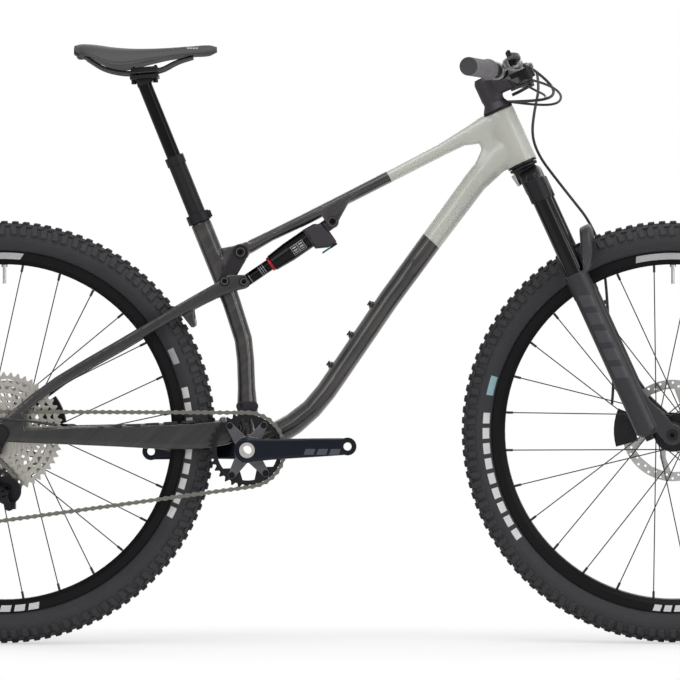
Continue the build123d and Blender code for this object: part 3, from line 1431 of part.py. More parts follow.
# ---- Cockpit ---------------------------------------------------------------------------
COVER_LOW = HEAD_LENGTH / 2 + 3.4
COVER_HIGH = 66.0
STEM_LOW = 74.0
STEM_HIGH = 109.0
STEM_R = 20.0
CLAMP_OUT_R = 21.5
CLAMP_HALF = 22.0
BAR_STRAIGHT = 30.0
BAR_BEND_Y = 35.0
BAR_THIN_Y = 112.0
LEVER_Y = 205.0
LEVER_OUT = 47.0  # lever pivot ahead of the bar
REAR_BRAKE_HOSE = (
    (92.0, 86.0, -158.0),
    (66.0, 101.0, -128.0),
    (39.0, 108.0, -86.0),
    (31.0, 94.0, -38.0),
    (43.0, 58.0, -10.0),
    (59.0, 21.5, -6.0),
)
SHIFT_HOUSING = (
    (70.0, 80.0, -152.0),
    (50.0, 105.0, -116.0),
    (26.0, 116.0, -68.0),
    (17.0, 100.0, -20.0),
    (34.0, 62.0, 6.0),
    (59.6, 21.5, 3.0),
)
DROPPER_HOUSING = (
    (84.0, 55.0, 152.0),
    (62.0, 70.0, 122.0),
    (44.0, 86.0, 82.0),
    (36.0, 82.0, 40.0),
    (45.0, 54.0, 16.0),
    (59.0, 19.5, 11.0),
)
FRONT_BRAKE_HOSE = (
    (92.0, 86.0, 158.0),
    (64.0, 80.0, 132.0),
    (30.0, 56.0, 100.0),
    (-10.0, 33.0, 76.0),
    (-50.0, 30.0, 68.0),
    (-95.0, 40.0, 66.0),
    (-145.0, 52.0, 70.0),
    (-190.0, 63.0, 80.0),
    (-245.0, 62.0, 90.0),
    (-305.0, 44.0, 93.0),
    (-365.0, 21.0, 93.0),
    (-425.0, 2.0, 91.0),
    (-475.0, -18.0, 80.0),
    (-504.0, -34.0, 54.0),
)


def bar_point(y, n=0.0, t=0.0):
    """A point on the bar's centre line at a distance y from the middle, left or right."""
    out = max(0.0, abs(y) - BAR_BEND_Y)
    return fork(BAR_HEIGHT + UP_SWEEP * out + t, BAR_REACH - BACK_SWEEP * out + n, y)


def handlebar():
    half = (
        (BAR_HALF, BAR_GRIP_R),
        (BAR_THIN_Y, BAR_GRIP_R),
        (80.0, 12.6),
        (48.0, 15.0),
        (BAR_STRAIGHT, BAR_CLAMP_R),
    )
    stations = [(-y, radius) for y, radius in half] + [*half[::-1]]
    points = [Vector(*bar_point(y)) for y, _ in stations]
    sections = []
    for k, (y, radius) in enumerate(stations):
        along = points[min(k + 1, len(points) - 1)] - points[max(k - 1, 0)]
        if abs(y) <= BAR_STRAIGHT:
            along = Vector(0, 1, 0)
        place = Plane(origin=points[k], x_dir=tuple(HEAD_FORE), z_dir=along)
        sections.append(place * Circle(radius))
    return loft(sections, ruled=True)


def grip():
    """The left grip, a ribbed sleeve with an inner flange and a closed end."""
    start = BAR_HALF - GRIP_LENGTH
    sleeve = rod(bar_point(start), bar_point(BAR_HALF + 3), GRIP_R)
    sleeve += rod(bar_point(start), bar_point(start + 4), GRIP_R + 2.5)
    return sleeve - rod(bar_point(start - 5), bar_point(BAR_HALF + SEAT_GAP), BAR_GRIP_R + SEAT_GAP)


def headset_cover():
    """The conical cover over the upper bearing and the spacers above it."""
    cover = cone(fork(COVER_LOW, 0, 0), fork(COVER_HIGH, 0, 0), HEAD_R - 0.4, STEM_R)
    cover += rod(fork(COVER_HIGH, 0, 0), fork(STEM_LOW - SEAT_GAP, 0, 0), STEM_R - 1)
    for route in (REAR_BRAKE_HOSE, SHIFT_HOUSING, DROPPER_HOUSING):
        end, before = Vector(*fork(*route[-1])), Vector(*fork(*route[-2]))
        along = (before - end).normalized()
        cover -= rod(tuple(end - along * 0.5), tuple(end + along * 20), HOSE_R + 0.2)
    return cover - rod(fork(0, 0, 0), fork(100, 0, 0), STEERER_R + SEAT_GAP)


def stem():
    body = rod(fork(STEM_LOW, 0, 0), fork(STEM_HIGH, 0, 0), STEM_R)
    sections = []
    for n, height, width in ((6.0, 33.0, 34.0), (26.0, 30.0, 32.0), (BAR_REACH - 10, 36.0, 42.0)):
        place = Plane(origin=fork(BAR_HEIGHT, n, 0), x_dir=tuple(HEAD_UP), z_dir=tuple(HEAD_FORE))
        sections.append(place * RectangleRounded(height, width, 7.0))
    body += loft(sections)
    body += rod(bar_point(-CLAMP_HALF), bar_point(CLAMP_HALF), CLAMP_OUT_R)
    ahead = fork(BAR_HEIGHT, BAR_REACH + 0.6 + 20, 0)
    body -= box(ahead, (40.0, 60.0, 60.0), lean=90 - HEAD_ANGLE)
    body -= rod(fork(BAR_HEIGHT, BAR_REACH, -60), fork(BAR_HEIGHT, BAR_REACH, 60), BAR_CLAMP_R + SEAT_GAP)
    body -= rod(fork(40, 0, 0), fork(130, 0, 0), STEERER_R + SEAT_GAP)
    body -= box(fork(STEM_LOW + 18, -24, 0), (20.0, 1.6, 60.0), lean=-HEAD_ANGLE)
    return body


def faceplate():
    plate = rod(bar_point(-CLAMP_HALF), bar_point(CLAMP_HALF), CLAMP_OUT_R)
    behind = fork(BAR_HEIGHT, BAR_REACH + 1.4 - 30, 0)
    plate -= box(behind, (60.0, 60.0, 60.0), lean=90 - HEAD_ANGLE)
    plate -= rod(fork(BAR_HEIGHT, BAR_REACH, -60), fork(BAR_HEIGHT, BAR_REACH, 60), BAR_CLAMP_R + SEAT_GAP)
    for side in SIDES:
        for t in (-20.6, 20.6):
            y = side * 14.0
            inner, outer = fork(BAR_HEIGHT + t, BAR_REACH + 1.4, y), fork(BAR_HEIGHT + t, BAR_REACH + 13, y)
            plate += rod(inner, outer, 4.4)
    return plate


def top_cap():
    cap = rod(fork(STEM_HIGH + SEAT_GAP + 3.1, 0, 0), fork(STEM_HIGH + SEAT_GAP, 0, 0), STEM_R - 1.5)
    cap -= rod(fork(STEM_HIGH - 1, 0, 0), fork(112.1, 0, 0), STEERER_R + SEAT_GAP)
    return cap + rod(fork(112.2, 0, 0), fork(115.5, 0, 0), STEM_R - 3)


def master():
    """The left brake master: a bar clamp, a reservoir ahead of the bar and a lever pivot."""
    y = LEVER_Y
    clamp = rod(bar_point(y - 7), bar_point(y + 7), 15.5)
    arm = slab_between(bar_point(y), bar_point(y, n=LEVER_OUT - 10), 14.0, 12.0)
    body = rod(bar_point(y - 45, n=30, t=1), bar_point(y + 14, n=26, t=1), 9.5)
    body += clamp
    body += arm
    pivot = bar_point(y + 10, n=LEVER_OUT - 13)
    for t in (-8.5, 8.5):
        low = Vector(*pivot) + HEAD_UP * (t - 2.5)
        body += rod(tuple(low), tuple(low + HEAD_UP * 5.0), 7.5)
    core = Vector(*pivot)
    body -= rod(tuple(core - HEAD_UP * 6.0), tuple(core + HEAD_UP * 6.0), 13.0)
    body += rod(tuple(core - HEAD_UP * 10.0), tuple(core + HEAD_UP * 10.0), 2.5)
    return body - rod(bar_point(y - 60), bar_point(y + 60), BAR_GRIP_R + SEAT_GAP)


def slab_between(a, b, height, width):
    """A bar of rectangular section between two points, its height along the head axis."""
    a, b = Vector(*a), Vector(*b)
    along = (b - a).normalized()
    place = Plane(origin=(a + b) * 0.5, x_dir=along, z_dir=HEAD_UP)
    return place * Box((b - a).length, width, height)


def brake_lever():
    """The left lever, a curved blade in front of the grip."""
    y = LEVER_Y
    pivot = Vector(*bar_point(y + 10, n=LEVER_OUT - 13))
    blade = rod(tuple(pivot - HEAD_UP * 5.6), tuple(pivot + HEAD_UP * 5.6), 6.5)
    places = (
        # along the bar, ahead of it, height, depth
        (y + 10, 34.0, 11.0, 10.0),
        (y + 35, 50.0, 10.0, 8.0),
        (y + 75, 54.0, 11.0, 6.5),
        (y + 112, 52.0, 11.0, 6.5),
        (y + 128, 58.0, 11.0, 6.5),
    )
    points = [Vector(*bar_point(at, n=n)) for at, n, _, _ in places]
    sections = []
    for i, (_, _, height, depth) in enumerate(places):
        along = points[min(i + 1, len(points) - 1)] - points[max(i - 1, 0)]
        place = Plane(origin=points[i], x_dir=tuple(HEAD_UP), z_dir=along)
        sections.append(place * RectangleRounded(height, depth, 2.8))
    blade += loft(sections)
    return blade - rod(tuple(pivot - HEAD_UP * 20), tuple(pivot + HEAD_UP * 20), 2.5 + FIT)


def shifter():
    """The right shifter's body, under the bar and inboard of the brake, with its pivot."""
    y = -(LEVER_Y - 34)
    clamp = rod(bar_point(y - 5), bar_point(y + 5), 14.5)
    clamp -= rod(bar_point(y - 9), bar_point(y + 9), BAR_GRIP_R + SEAT_GAP)
    body = slab_between(bar_point(y, n=11, t=-12), bar_point(y, n=42, t=-20), 9.0, 10.0)
    pod = Vector(*bar_point(y + 4, n=36, t=-24))
    body += rod(tuple(pod - HEAD_UP * 6), tuple(pod + HEAD_UP * 9), 15.0)
    body -= rod(bar_point(y - 40), bar_point(y + 40), BAR_GRIP_R + SEAT_GAP)
    body += rod(tuple(pod - HEAD_UP * 19), tuple(pod), 3.0)
    return clamp + body


def paddle(low, high, reach, aim):
    """A thumb paddle under the shifter, between two heights below its pod."""
    y = -(LEVER_Y - 34)
    pod = Vector(*bar_point(y + 4, n=36, t=-24))
    level = pod - HEAD_UP * ((low + high) / 2)
    tip = Vector(*bar_point(y - aim, n=36 - reach, t=-24 - UP_SWEEP * aim)) - HEAD_UP * ((low + high) / 2)
    blade = rod(tuple(pod - HEAD_UP * low), tuple(pod - HEAD_UP * high), 8.0)
    blade += slab_between(tuple(level), tuple(tip), high - low, 9.0)
    blade += rod(tuple(tip + HEAD_UP * (high - low) * 0.5), tuple(tip - HEAD_UP * (high - low) * 0.5), 7.0)
    return blade - rod(tuple(pod + HEAD_UP * 20), tuple(pod - HEAD_UP * 40), 3.0 + FIT)


def dropper_remote():
    """The left remote's clamp and pivot, under the bar."""
    y = LEVER_Y - 34
    clamp = rod(bar_point(y - 5), bar_point(y + 5), 14.5)
    body = slab_between(bar_point(y, n=8, t=-10), bar_point(y, n=26, t=-19), 9.0, 10.0)
    pod = Vector(*bar_point(y, n=26, t=-22))
    body += rod(tuple(pod - HEAD_UP * 4), tuple(pod + HEAD_UP * 6), 9.0)
    body += rod(tuple(pod - HEAD_UP * 10), tuple(pod), 3.0)
    return clamp + body - rod(bar_point(y - 40), bar_point(y + 40), BAR_GRIP_R + SEAT_GAP)


def dropper_lever():
    y = LEVER_Y - 34
    pod = Vector(*bar_point(y, n=26, t=-22))
    level = pod - HEAD_UP * 7.0
    tip = Vector(*bar_point(y + 38, n=4, t=-22 - UP_SWEEP * 38)) - HEAD_UP * 7.0
    blade = rod(tuple(pod - HEAD_UP * 4.4), tuple(pod - HEAD_UP * 9.6), 7.5)
    blade += slab_between(tuple(level), tuple(tip), 5.2, 9.0)
    blade += rod(tuple(tip + HEAD_UP * 2.6), tuple(tip - HEAD_UP * 2.6), 10.0)
    return blade - rod(tuple(pod + HEAD_UP * 20), tuple(pod - HEAD_UP * 40), 3.0 + FIT)


def steered_hose(points, radius=HOSE_R):
    """A hose on the steered part, from unsteered points (t, n, y)."""
    return steered(hose([fork(*point) for point in points], radius))


save("handlebar", steered(handlebar()))
save("grips", steered(grip()), steered(mirrored(grip())))
save("stem", steered(stem()), steered(faceplate()), steered(top_cap()), steered(headset_cover()))
save("brake_masters", steered(master()), steered(mirrored(master())))
save("brake_lever_left", steered(brake_lever()))
save("brake_lever_right", steered(mirrored(brake_lever())))
save("bar_controls", steered(shifter()), steered(dropper_remote()))
save("shift_paddle_up", steered(paddle(6.6, 10.0, 4.0, 30.0)))
save("shift_paddle_down", steered(paddle(11.4, 15.4, 22.0, 22.0)))
save("dropper_lever", steered(dropper_lever()))
save(
    "control_hoses",
    steered_hose(REAR_BRAKE_HOSE),
    steered_hose(SHIFT_HOUSING, HOUSING_R),
    steered_hose(DROPPER_HOUSING, HOUSING_R),
)
save("front_brake_hose", steered_hose(FRONT_BRAKE_HOSE))


# ---- Saddle ----------------------------------------------------------------------------
SADDLE = (
    # x, half width, top, edge, thickness of the pad at the middle
    (-464.0, 26.0, 1052.0, 1041.0, 7.0),
    (-450.0, 58.0, 1054.5, 1031.0, 13.0),
    (-425.0, 70.0, 1053.0, 1025.0, 18.0),
    (-395.0, 71.0, 1049.0, 1013.0, 21.0),
    (-365.0, 60.0, 1047.0, 1014.0, 21.0),
    (-335.0, 47.0, 1047.0, 1021.0, 18.0),
    (-300.0, 34.0, 1048.5, 1028.0, 14.0),
    (-260.0, 25.0, 1051.0, 1033.0, 12.0),
    (-228.0, 20.0, 1053.0, 1035.0, 12.0),
    (-214.0, 12.0, 1050.0, 1041.0, 6.0),
)
POST_HEAD = 252.5
POST_FOOT = 20.0
RAIL_R = 3.5
CLAMP_BOLTS_X = (-360.0, -322.0)
CLAMP_HEAD_R = 4.5
RAIL_Y = 22.0
RAIL_POINTS = (
    (-444.0, 1030.1, 38.0),
    (-414.0, 1010.0, 27.0),
    (-376.0, 1001.5, RAIL_Y),
    (-312.0, 1007.0, RAIL_Y),
    (-284.0, 1023.0, 17.0),
    (-256.0, 1031.1, 11.0),
)


def dropper_stanchion():
    return rod(post(POST_FOOT), post(POST_HEAD), POST_STANCHION_R)


def crescent(x, half, edge, top, bottom):
    """A section across the saddle, between an upper and a lower arc."""
    upper = Edge.make_three_point_arc((x, -half, edge), (x, 0, top), (x, half, edge))
    lower = Edge.make_three_point_arc((x, half, edge), (x, 0, bottom), (x, -half, edge))
    return Face(Wire([upper, lower]))


def saddle_pad():
    return loft([crescent(x, half, edge, top, top - thick) for x, half, top, edge, thick in SADDLE])


def saddle_shell():
    sections = []
    for x, half, top, edge, thick in SADDLE:
        middle = top - thick - 0.8
        upper, lower = max(middle, edge + 1.5), max(middle - 3.0, edge - 2.0)
        sections.append(crescent(x, half - 5, edge + 0.6, upper, lower))
    return loft(sections)


def saddle_rail(radius):
    return hose([(x, y, z) for x, z, y in RAIL_POINTS], radius)


def clamp_frame():
    """The clamp's lower cradle, with a neck that widens up to it from the post's head."""
    cradle = box((-341.0, 0, 996.0), (50.0, 56.0, 6.0), lean=-5.0)
    foot = [post(POST_HEAD + SEAT_GAP, fore) for fore in (-13.0, 13.0)]
    neck = [(x, z) for x, y, z in foot] + [(-325.0, 996.0), (-357.0, 994.0)]
    return cradle + slab(neck, -13.0, 13.0)


def clamp_lid():
    lid = box((-341.0, 0, 1008.8), (47.0, 56.0, 7.6), lean=-5.0)
    return lid


def clamp_height(x):
    """The height of the rails' middle line at the clamp, which leans with the saddle."""
    return 1001.0 + (x + 341.0) * 0.087


def clamp_bolts():
    bolts = []
    for x in CLAMP_BOLTS_X:
        z = clamp_height(x)
        shank = rod((x, 0, z - 12.0), (x, 0, z + 15.5), 2.5)
        bolts.append(shank + rod((x, 0, z - 8.8), (x, 0, z - 15.5), CLAMP_HEAD_R))
    return bolts


def clamp_cuts(shape):
    for x in CLAMP_BOLTS_X:
        z = clamp_height(x)
        shape -= rod((x, 0, z - 40), (x, 0, z + 40), 2.6)
        shape -= rod((x, 0, z - 40), (x, 0, z - 8.5), CLAMP_HEAD_R + SEAT_GAP)
    groove = saddle_rail(RAIL_R + SEAT_GAP)
    shape -= groove
    shape -= mirrored(groove)
    return shape


rail = saddle_rail(RAIL_R)
save("dropper_stanchion", dropper_stanchion())
save("saddle_pad", saddle_pad())
save("saddle_shell", saddle_shell())
save("saddle_rails", rail, mirrored(rail))
save("saddle_clamp", clamp_cuts(clamp_frame()), clamp_cuts(clamp_lid()), *clamp_bolts())
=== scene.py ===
import json
import math

import bmesh
import bpy
from mathutils import Matrix, Vector

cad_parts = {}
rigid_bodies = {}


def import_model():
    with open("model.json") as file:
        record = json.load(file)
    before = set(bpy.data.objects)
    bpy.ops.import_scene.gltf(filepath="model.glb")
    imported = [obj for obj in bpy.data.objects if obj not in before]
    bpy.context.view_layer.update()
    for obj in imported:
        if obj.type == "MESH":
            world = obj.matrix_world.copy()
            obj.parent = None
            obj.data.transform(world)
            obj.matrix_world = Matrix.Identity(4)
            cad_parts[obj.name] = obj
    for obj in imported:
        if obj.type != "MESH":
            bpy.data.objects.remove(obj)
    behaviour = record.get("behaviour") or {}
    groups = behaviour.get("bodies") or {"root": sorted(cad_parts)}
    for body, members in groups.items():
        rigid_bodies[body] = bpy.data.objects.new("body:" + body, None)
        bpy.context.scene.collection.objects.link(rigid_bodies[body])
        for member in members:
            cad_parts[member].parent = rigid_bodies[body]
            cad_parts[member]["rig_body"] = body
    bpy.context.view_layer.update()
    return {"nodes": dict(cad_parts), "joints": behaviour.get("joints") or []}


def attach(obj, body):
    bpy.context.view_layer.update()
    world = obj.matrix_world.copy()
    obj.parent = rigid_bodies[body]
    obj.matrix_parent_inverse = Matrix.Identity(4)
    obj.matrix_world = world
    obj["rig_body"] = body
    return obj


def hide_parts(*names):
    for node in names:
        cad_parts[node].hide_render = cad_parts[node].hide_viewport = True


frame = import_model()
NODES = frame["nodes"]


# ---- Front triangle ----------------------------------
# The real frame is moulded carbon fibre with flowing joints between the tubes. The back is
# clear-coated raw carbon, nearly black with a brown-grey sheen, and the front is painted a
# pale stone grey. The line between them runs across both tubes, behind the head tube.
FRAME_VOXEL = 0.0019
STONE_GREYS = ("#abaca4", "#b5b5ad")
STRAND_LEAN = math.radians(42)  # the strands' mean direction, up towards the head tube
# length, width and depth of a streak; a single strand is too fine to show, so each streak
# stands for a bundle of them
STREAK_MM = (178.57, 20.833, 14.881)
CLOUD_MM = 71.43  # soft clouds in the paint
PEEL_MM = 4.545  # the lacquer's orange peel, about twice its real size so that it shows
# an upper and a lower point (x, z) on the finish line, at the top tube and the down tube
PAINT_LINE_TOP = ((0.0835, 0.8305), (0.0942, 0.8120))
PAINT_LINE_DOWN = ((0.1489, 0.7208), (0.1774, 0.6946))
HEAD_JOINT = 0.13  # the tubes flow into the head tube ahead of this x


def linear(code):
    """A colour for a shader from an sRGB hex code."""
    parts = [int(code[i : i + 2], 16) / 255 for i in (1, 3, 5)]
    return tuple(c / 12.92 if c <= 0.04045 else ((c + 0.055) / 1.055) ** 2.4 for c in parts) + (1.0,)


def material(name, colour, metallic, roughness, **sockets):
    """A new material with a Principled shader; further sockets are given by name."""
    made = bpy.data.materials.new(name)
    made.use_nodes = True
    shader = made.node_tree.nodes["Principled BSDF"]
    shader.inputs["Base Color"].default_value = linear(colour)
    shader.inputs["Metallic"].default_value = metallic
    shader.inputs["Roughness"].default_value = roughness
    for label, value in sockets.items():
        shader.inputs[label.replace("_", " ")].default_value = value
    return made, shader


def add(made, kind, settings=None, **links):
    """A new node. Links are sockets, by name or as _ and a number, with a value or an output."""
    node = made.node_tree.nodes.new("ShaderNode" + kind)
    for key, value in (settings or {}).items():
        setattr(node, key, value)
    for key, value in links.items():
        socket = node.inputs[int(key[1:])] if key[0] == "_" else node.inputs[key.replace("_", " ")]
        if isinstance(value, bpy.types.NodeSocket):
            made.node_tree.links.new(value, socket)
        else:
            socket.default_value = value
    return node


def wire(made, output, target):
    """Link an output to a socket that is already there."""
    made.node_tree.links.new(output, target)


def maths(made, operation, *values):
    """The result of a Math node."""
    links = {f"_{k}": value for k, value in enumerate(values)}
    return add(made, "Math", {"operation": operation}, **links).outputs[0]


def vectors(made, operation, a, b=(0, 0, 0)):
    """The results of a VectorMath node: first a vector, then a value."""
    return add(made, "VectorMath", {"operation": operation}, _0=a, _1=b).outputs


def rest_place(made):
    """The place of each point of a surface, in the object's rest pose."""
    return add(made, "TexCoord").outputs["Object"]


def per_metre(size_mm):
    """A pattern's scale, from the size of one of its features."""
    return 1000 / size_mm


def noise(made, size_mm, detail=2.0, roughness=0.5):
    """Soft random changes over a surface, from the size of one of them."""
    looks = {"Scale": per_metre(size_mm), "Detail": detail, "Roughness": roughness}
    return add(made, "TexNoise", Vector=rest_place(made), **looks).outputs[0]


def bumped(made, pattern, strength, depth):
    """Let a pattern shade a surface as if it stood out by a depth, in metres."""
    bump = add(made, "Bump", Strength=strength, Distance=depth, Height=pattern)
    wire(made, bump.outputs[0], made.node_tree.nodes["Principled BSDF"].inputs["Normal"])


def reach_along(made, direction, start=(0, 0, 0)):
    """Metres along a direction from a starting point, in the object's rest pose."""
    away = vectors(made, "SUBTRACT", rest_place(made), start)[0]
    return vectors(made, "DOT_PRODUCT", away, direction)["Value"]


def ahead_of(made, upper, lower):
    """1 in front of a straight line through two points of the XZ plane, and 0 behind it."""
    normal = Vector((upper[1] - lower[1], 0, lower[0] - upper[0])).normalized()
    reach = reach_along(made, normal, (upper[0], 0, upper[1]))
    return maths(made, "GREATER_THAN", reach, 0.0)


def carbon(name, dark, light):
    """Lacquered carbon fibre, deep with faint strands, and satin paint ahead of the line."""
    made, shader = material(name, dark, 0.25, 0.42, Coat_Weight=0.7, Coat_Roughness=0.11)
    about_y = {"rotation_type": "Y_AXIS"}
    turned = add(made, "VectorRotate", about_y, Vector=rest_place(made), Angle=STRAND_LEAN)
    scale = tuple(per_metre(size) for size in STREAK_MM)
    flow = add(made, "Mapping", Vector=turned.outputs[0], Scale=scale)
    streaks = add(made, "TexNoise", Vector=flow.outputs[0], Scale=1.0, Detail=4.0, Roughness=0.6)
    ramp = add(made, "ValToRGB", Fac=streaks.outputs[0])
    for stop, position, colour in zip(ramp.color_ramp.elements, (0.38, 0.78), (dark, light)):
        stop.position = position
        stop.color = linear(colour)
    painted = maths(made, "MULTIPLY", ahead_of(made, *PAINT_LINE_TOP), ahead_of(made, *PAINT_LINE_DOWN))
    shade, plain = [linear(grey) for grey in STONE_GREYS]
    grey = add(made, "MixRGB", Fac=noise(made, CLOUD_MM, 3.0), Color1=shade, Color2=plain)
    colour = add(made, "MixRGB", Fac=painted, Color1=ramp.outputs[0], Color2=grey.outputs[0])
    wire(made, colour.outputs[0], shader.inputs["Base Color"])
    wire(made, maths(made, "MULTIPLY_ADD", painted, -0.22, 0.25), shader.inputs["Metallic"])
    bumped(made, noise(made, PEEL_MM), 0.04, 0.0004)
    return made


def shown(name, data):
    """A new object in the scene."""
    obj = bpy.data.objects.new(name, data)
    bpy.context.scene.collection.objects.link(obj)
    return obj


def moulded(node, made, voxel, smoothing):
    """A CAD node's solids melted into one skin with soft edges, in place of the node."""
    mesh = NODES[node].data.copy()
    skin = shown(node + "_skin", mesh)
    work = bmesh.new()
    work.from_mesh(mesh)
    bmesh.ops.remove_doubles(work, verts=work.verts, dist=1e-6)
    work.to_mesh(mesh)
    work.free()
    remesh = skin.modifiers.new("remesh", "REMESH")
    remesh.mode = "VOXEL"
    remesh.voxel_size = voxel
    relax = skin.modifiers.new("relax", "SMOOTH")
    relax.factor = 0.5
    relax.iterations = smoothing
    bpy.context.view_layer.update()
    view = bpy.context.evaluated_depsgraph_get()
    final = bpy.data.meshes.new_from_object(skin.evaluated_get(view))
    skin.modifiers.clear()
    skin.data = final
    bpy.data.meshes.remove(mesh)
    final.materials.clear()
    final.materials.append(made)
    final.shade_smooth()
    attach(skin, NODES[node]["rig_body"])
    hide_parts(node)
    return skin


def eased(skin, iterations, ahead=-9.0):
    """Soften a skin sideways only, where x is past a limit, so that webs flow into tubes."""
    group = skin.vertex_groups.new(name=f"eased_{iterations}")
    group.add([v.index for v in skin.data.vertices if v.co.x > ahead], 1.0, "REPLACE")
    soft = skin.modifiers.new(group.name, "SMOOTH")
    soft.use_x = soft.use_z = False
    soft.vertex_group = group.name
    soft.factor = 0.5
    soft.iterations = iterations


# Lacquered carbon: warm near-black with brown strands, and soft stone grey ahead of the line.
FRONT_CARBON = carbon("moulded_carbon", "#171617", "#413c39")
front_skin = moulded("front_triangle", FRONT_CARBON, FRAME_VOXEL, 6)
eased(front_skin, 30)
eased(front_skin, 100, HEAD_JOINT)


# ---- Frame bearings, clamp, seat post and bolts ------
# Alloy parts pressed or bolted into the frame: bearing cups, the seat collar, the post's
# outer tube, pivot axles and steel bottle bolts. Machined, then anodised satin black.
GRAIN_MM = 1.2  # the finish's grain, about twice its real size so that it shows
WEAR_MM = 55.56  # patches where handling has changed the gloss
PIVOT_BOLTS = ((-177.7, 380.6), (-172.0, 688.0), (-10.5, 741.9))  # x, z in mm
# radii of the painted highlight ring's outer edge and of the painted shaded socket
PIVOT_HIGHLIGHT_RING, PIVOT_SHADED_SOCKET = 0.0078, 0.0036


def metal(name, colour, roughness, metallic=0.85):
    """A machined, plated or coated metal: satin, with a fine grain and slow changes of gloss."""
    made, shader = material(name, colour, metallic, roughness)
    low, high = roughness - 0.06, roughness + 0.08
    span = add(made, "MapRange", Value=noise(made, WEAR_MM, 3.0), To_Min=low, To_Max=high)
    wire(made, span.outputs[0], shader.inputs["Roughness"])
    bumped(made, noise(made, GRAIN_MM), 0.05, 0.0002)
    return made


def dress(made, *names):
    """A material on whole CAD nodes."""
    for name in names:
        for slot in NODES[name].material_slots:
            slot.material = made


def from_axis(made, x, z):
    """The distance from a line along Y, in metres."""
    flat = vectors(made, "MULTIPLY", rest_place(made), (1, 0, 1))[0]
    return vectors(made, "DISTANCE", flat, (x, 0, z))["Value"]


def inside(made, value, low, high):
    """1 where a value lies between two limits."""
    return maths(made, "COMPARE", value, (low + high) / 2, (high - low) / 2)


def joined(made, operation, masks):
    """Masks as one: MAXIMUM for any, MULTIPLY for all, SUBTRACT for the first less the rest."""
    whole = masks[0]
    for mask in masks[1:]:
        whole = maths(made, operation, whole, mask)
    return whole


def tinted(made, mask, colour, roughness=None):
    """Lay a colour, and maybe a roughness, over what a material has where the mask is 1."""
    shader = made.node_tree.nodes["Principled BSDF"]
    for label, value in (("Base Color", linear(colour)), ("Roughness", roughness)):
        if value is None:
            continue
        socket = shader.inputs[label]
        before = socket.links[0].from_socket if socket.is_linked else socket.default_value
        if label == "Base Color":
            mix = add(made, "MixRGB", Fac=mask, Color1=before, Color2=value)
        else:
            mix = add(made, "Mix", {"data_type": "FLOAT"}, Factor=mask, A=before, B=value)
        wire(made, mix.outputs[0], socket)


def bolt_highlight_and_shade(made, centres, rim, hole):
    """A painted highlight ring at the rim and painted shade in the socket, on bolt heads about (x, z)
    axes.
    """
    reaches = [from_axis(made, x / 1000, z / 1000) for x, z in centres]
    ring = joined(made, "MAXIMUM", [inside(made, reach, rim - 0.0011, rim) for reach in reaches])
    socket = joined(made, "MAXIMUM", [inside(made, reach, -1.0, hole) for reach in reaches])
    # painted highlight: the rim's lit edge, as a grey ring
    tinted(made, ring, "#6f6d70")
    # painted shade: the socket's dark hollow
    tinted(made, socket, "#0b0b0c", 0.8)


# Blasted and anodised aluminium: black with a soft, wide sheen.
BLACK_SATIN = metal("black_anodised_aluminium", "#2b2a2c", 0.42)
dress(BLACK_SATIN, "seat_clamp", "dropper_outer", "frame_bearings")
# Black oxide on steel: a dark grey that still shines a little.
DARK_BOLT = metal("black_oxide_steel", "#39373a", 0.38)
dress(DARK_BOLT, "frame_fittings")
# Anodised bolt heads: black, with a painted highlight ring on the raised rim and a painted shaded
# socket.
PIVOT_BLACK = metal("black_pivot_bolts", "#232225", 0.34)
bolt_highlight_and_shade(PIVOT_BLACK, PIVOT_BOLTS, PIVOT_HIGHLIGHT_RING, PIVOT_SHADED_SOCKET)
dress(PIVOT_BLACK, "frame_pivot_bolts")


# ---- Rear triangle -----------------------------------
# One moulded carbon piece with chainstays, seatstays and dropouts, in the frame's dark
# finish. A ribbed rubber strip is glued on the right chainstay; alloy bolts hold the rest.
REAR_VOXEL = 0.0017
BLOOM_MM = 45.45  # pale clouds of dust and bloom
STAY_BOLTS = ((-199.5, 637.0), (-165.5, 636.0))  # x, z in mm
# radii of the painted highlight ring's outer edge and of the painted shaded socket
STAY_HIGHLIGHT_RING, STAY_SHADED_SOCKET = 0.0062, 0.0030


def polymer(name, colour, roughness=0.85, speck_mm=1.4):
    """Rubber, nylon or ink: matt, with the mould's faint speckle and a pale, uneven bloom."""
    made, shader = material(name, colour, 0.0, roughness)
    bloom = noise(made, BLOOM_MM, 4.0, 0.6)
    light = tuple(min(1.0, c * 1.45 + 0.004) for c in linear(colour)[:3]) + (1.0,)
    mix = add(made, "MixRGB", Fac=bloom, Color1=linear(colour), Color2=light)
    wire(made, mix.outputs[0], shader.inputs["Base Color"])
    bumped(made, noise(made, speck_mm), 0.15, 0.0004)
    return made


# The same lacquered carbon, its colours a little darker than the front's: painted shade over the whole
# rear triangle.
SHADED_REAR_CARBON = carbon("shaded_rear_carbon", "#121112", "#2e2a29")
eased(moulded("rear_triangle", SHADED_REAR_CARBON, REAR_VOXEL, 5), 30)
# Moulded rubber: matt and nearly black, so it swallows light beside the lacquer.
STRIP_RUBBER = polymer("moulded_rubber", "#242326")
dress(STRIP_RUBBER, "chainstay_protector")
# Anodised bolt heads, as at the pivots, with the same painted highlight ring and painted shaded socket.
STAY_BLACK = metal("black_stay_bolts", "#262528", 0.34)
bolt_highlight_and_shade(STAY_BLACK, STAY_BOLTS, STAY_HIGHLIGHT_RING, STAY_SHADED_SOCKET)
dress(STAY_BLACK, "rear_fasteners")
dress(BLACK_SATIN, "derailleur_mount")


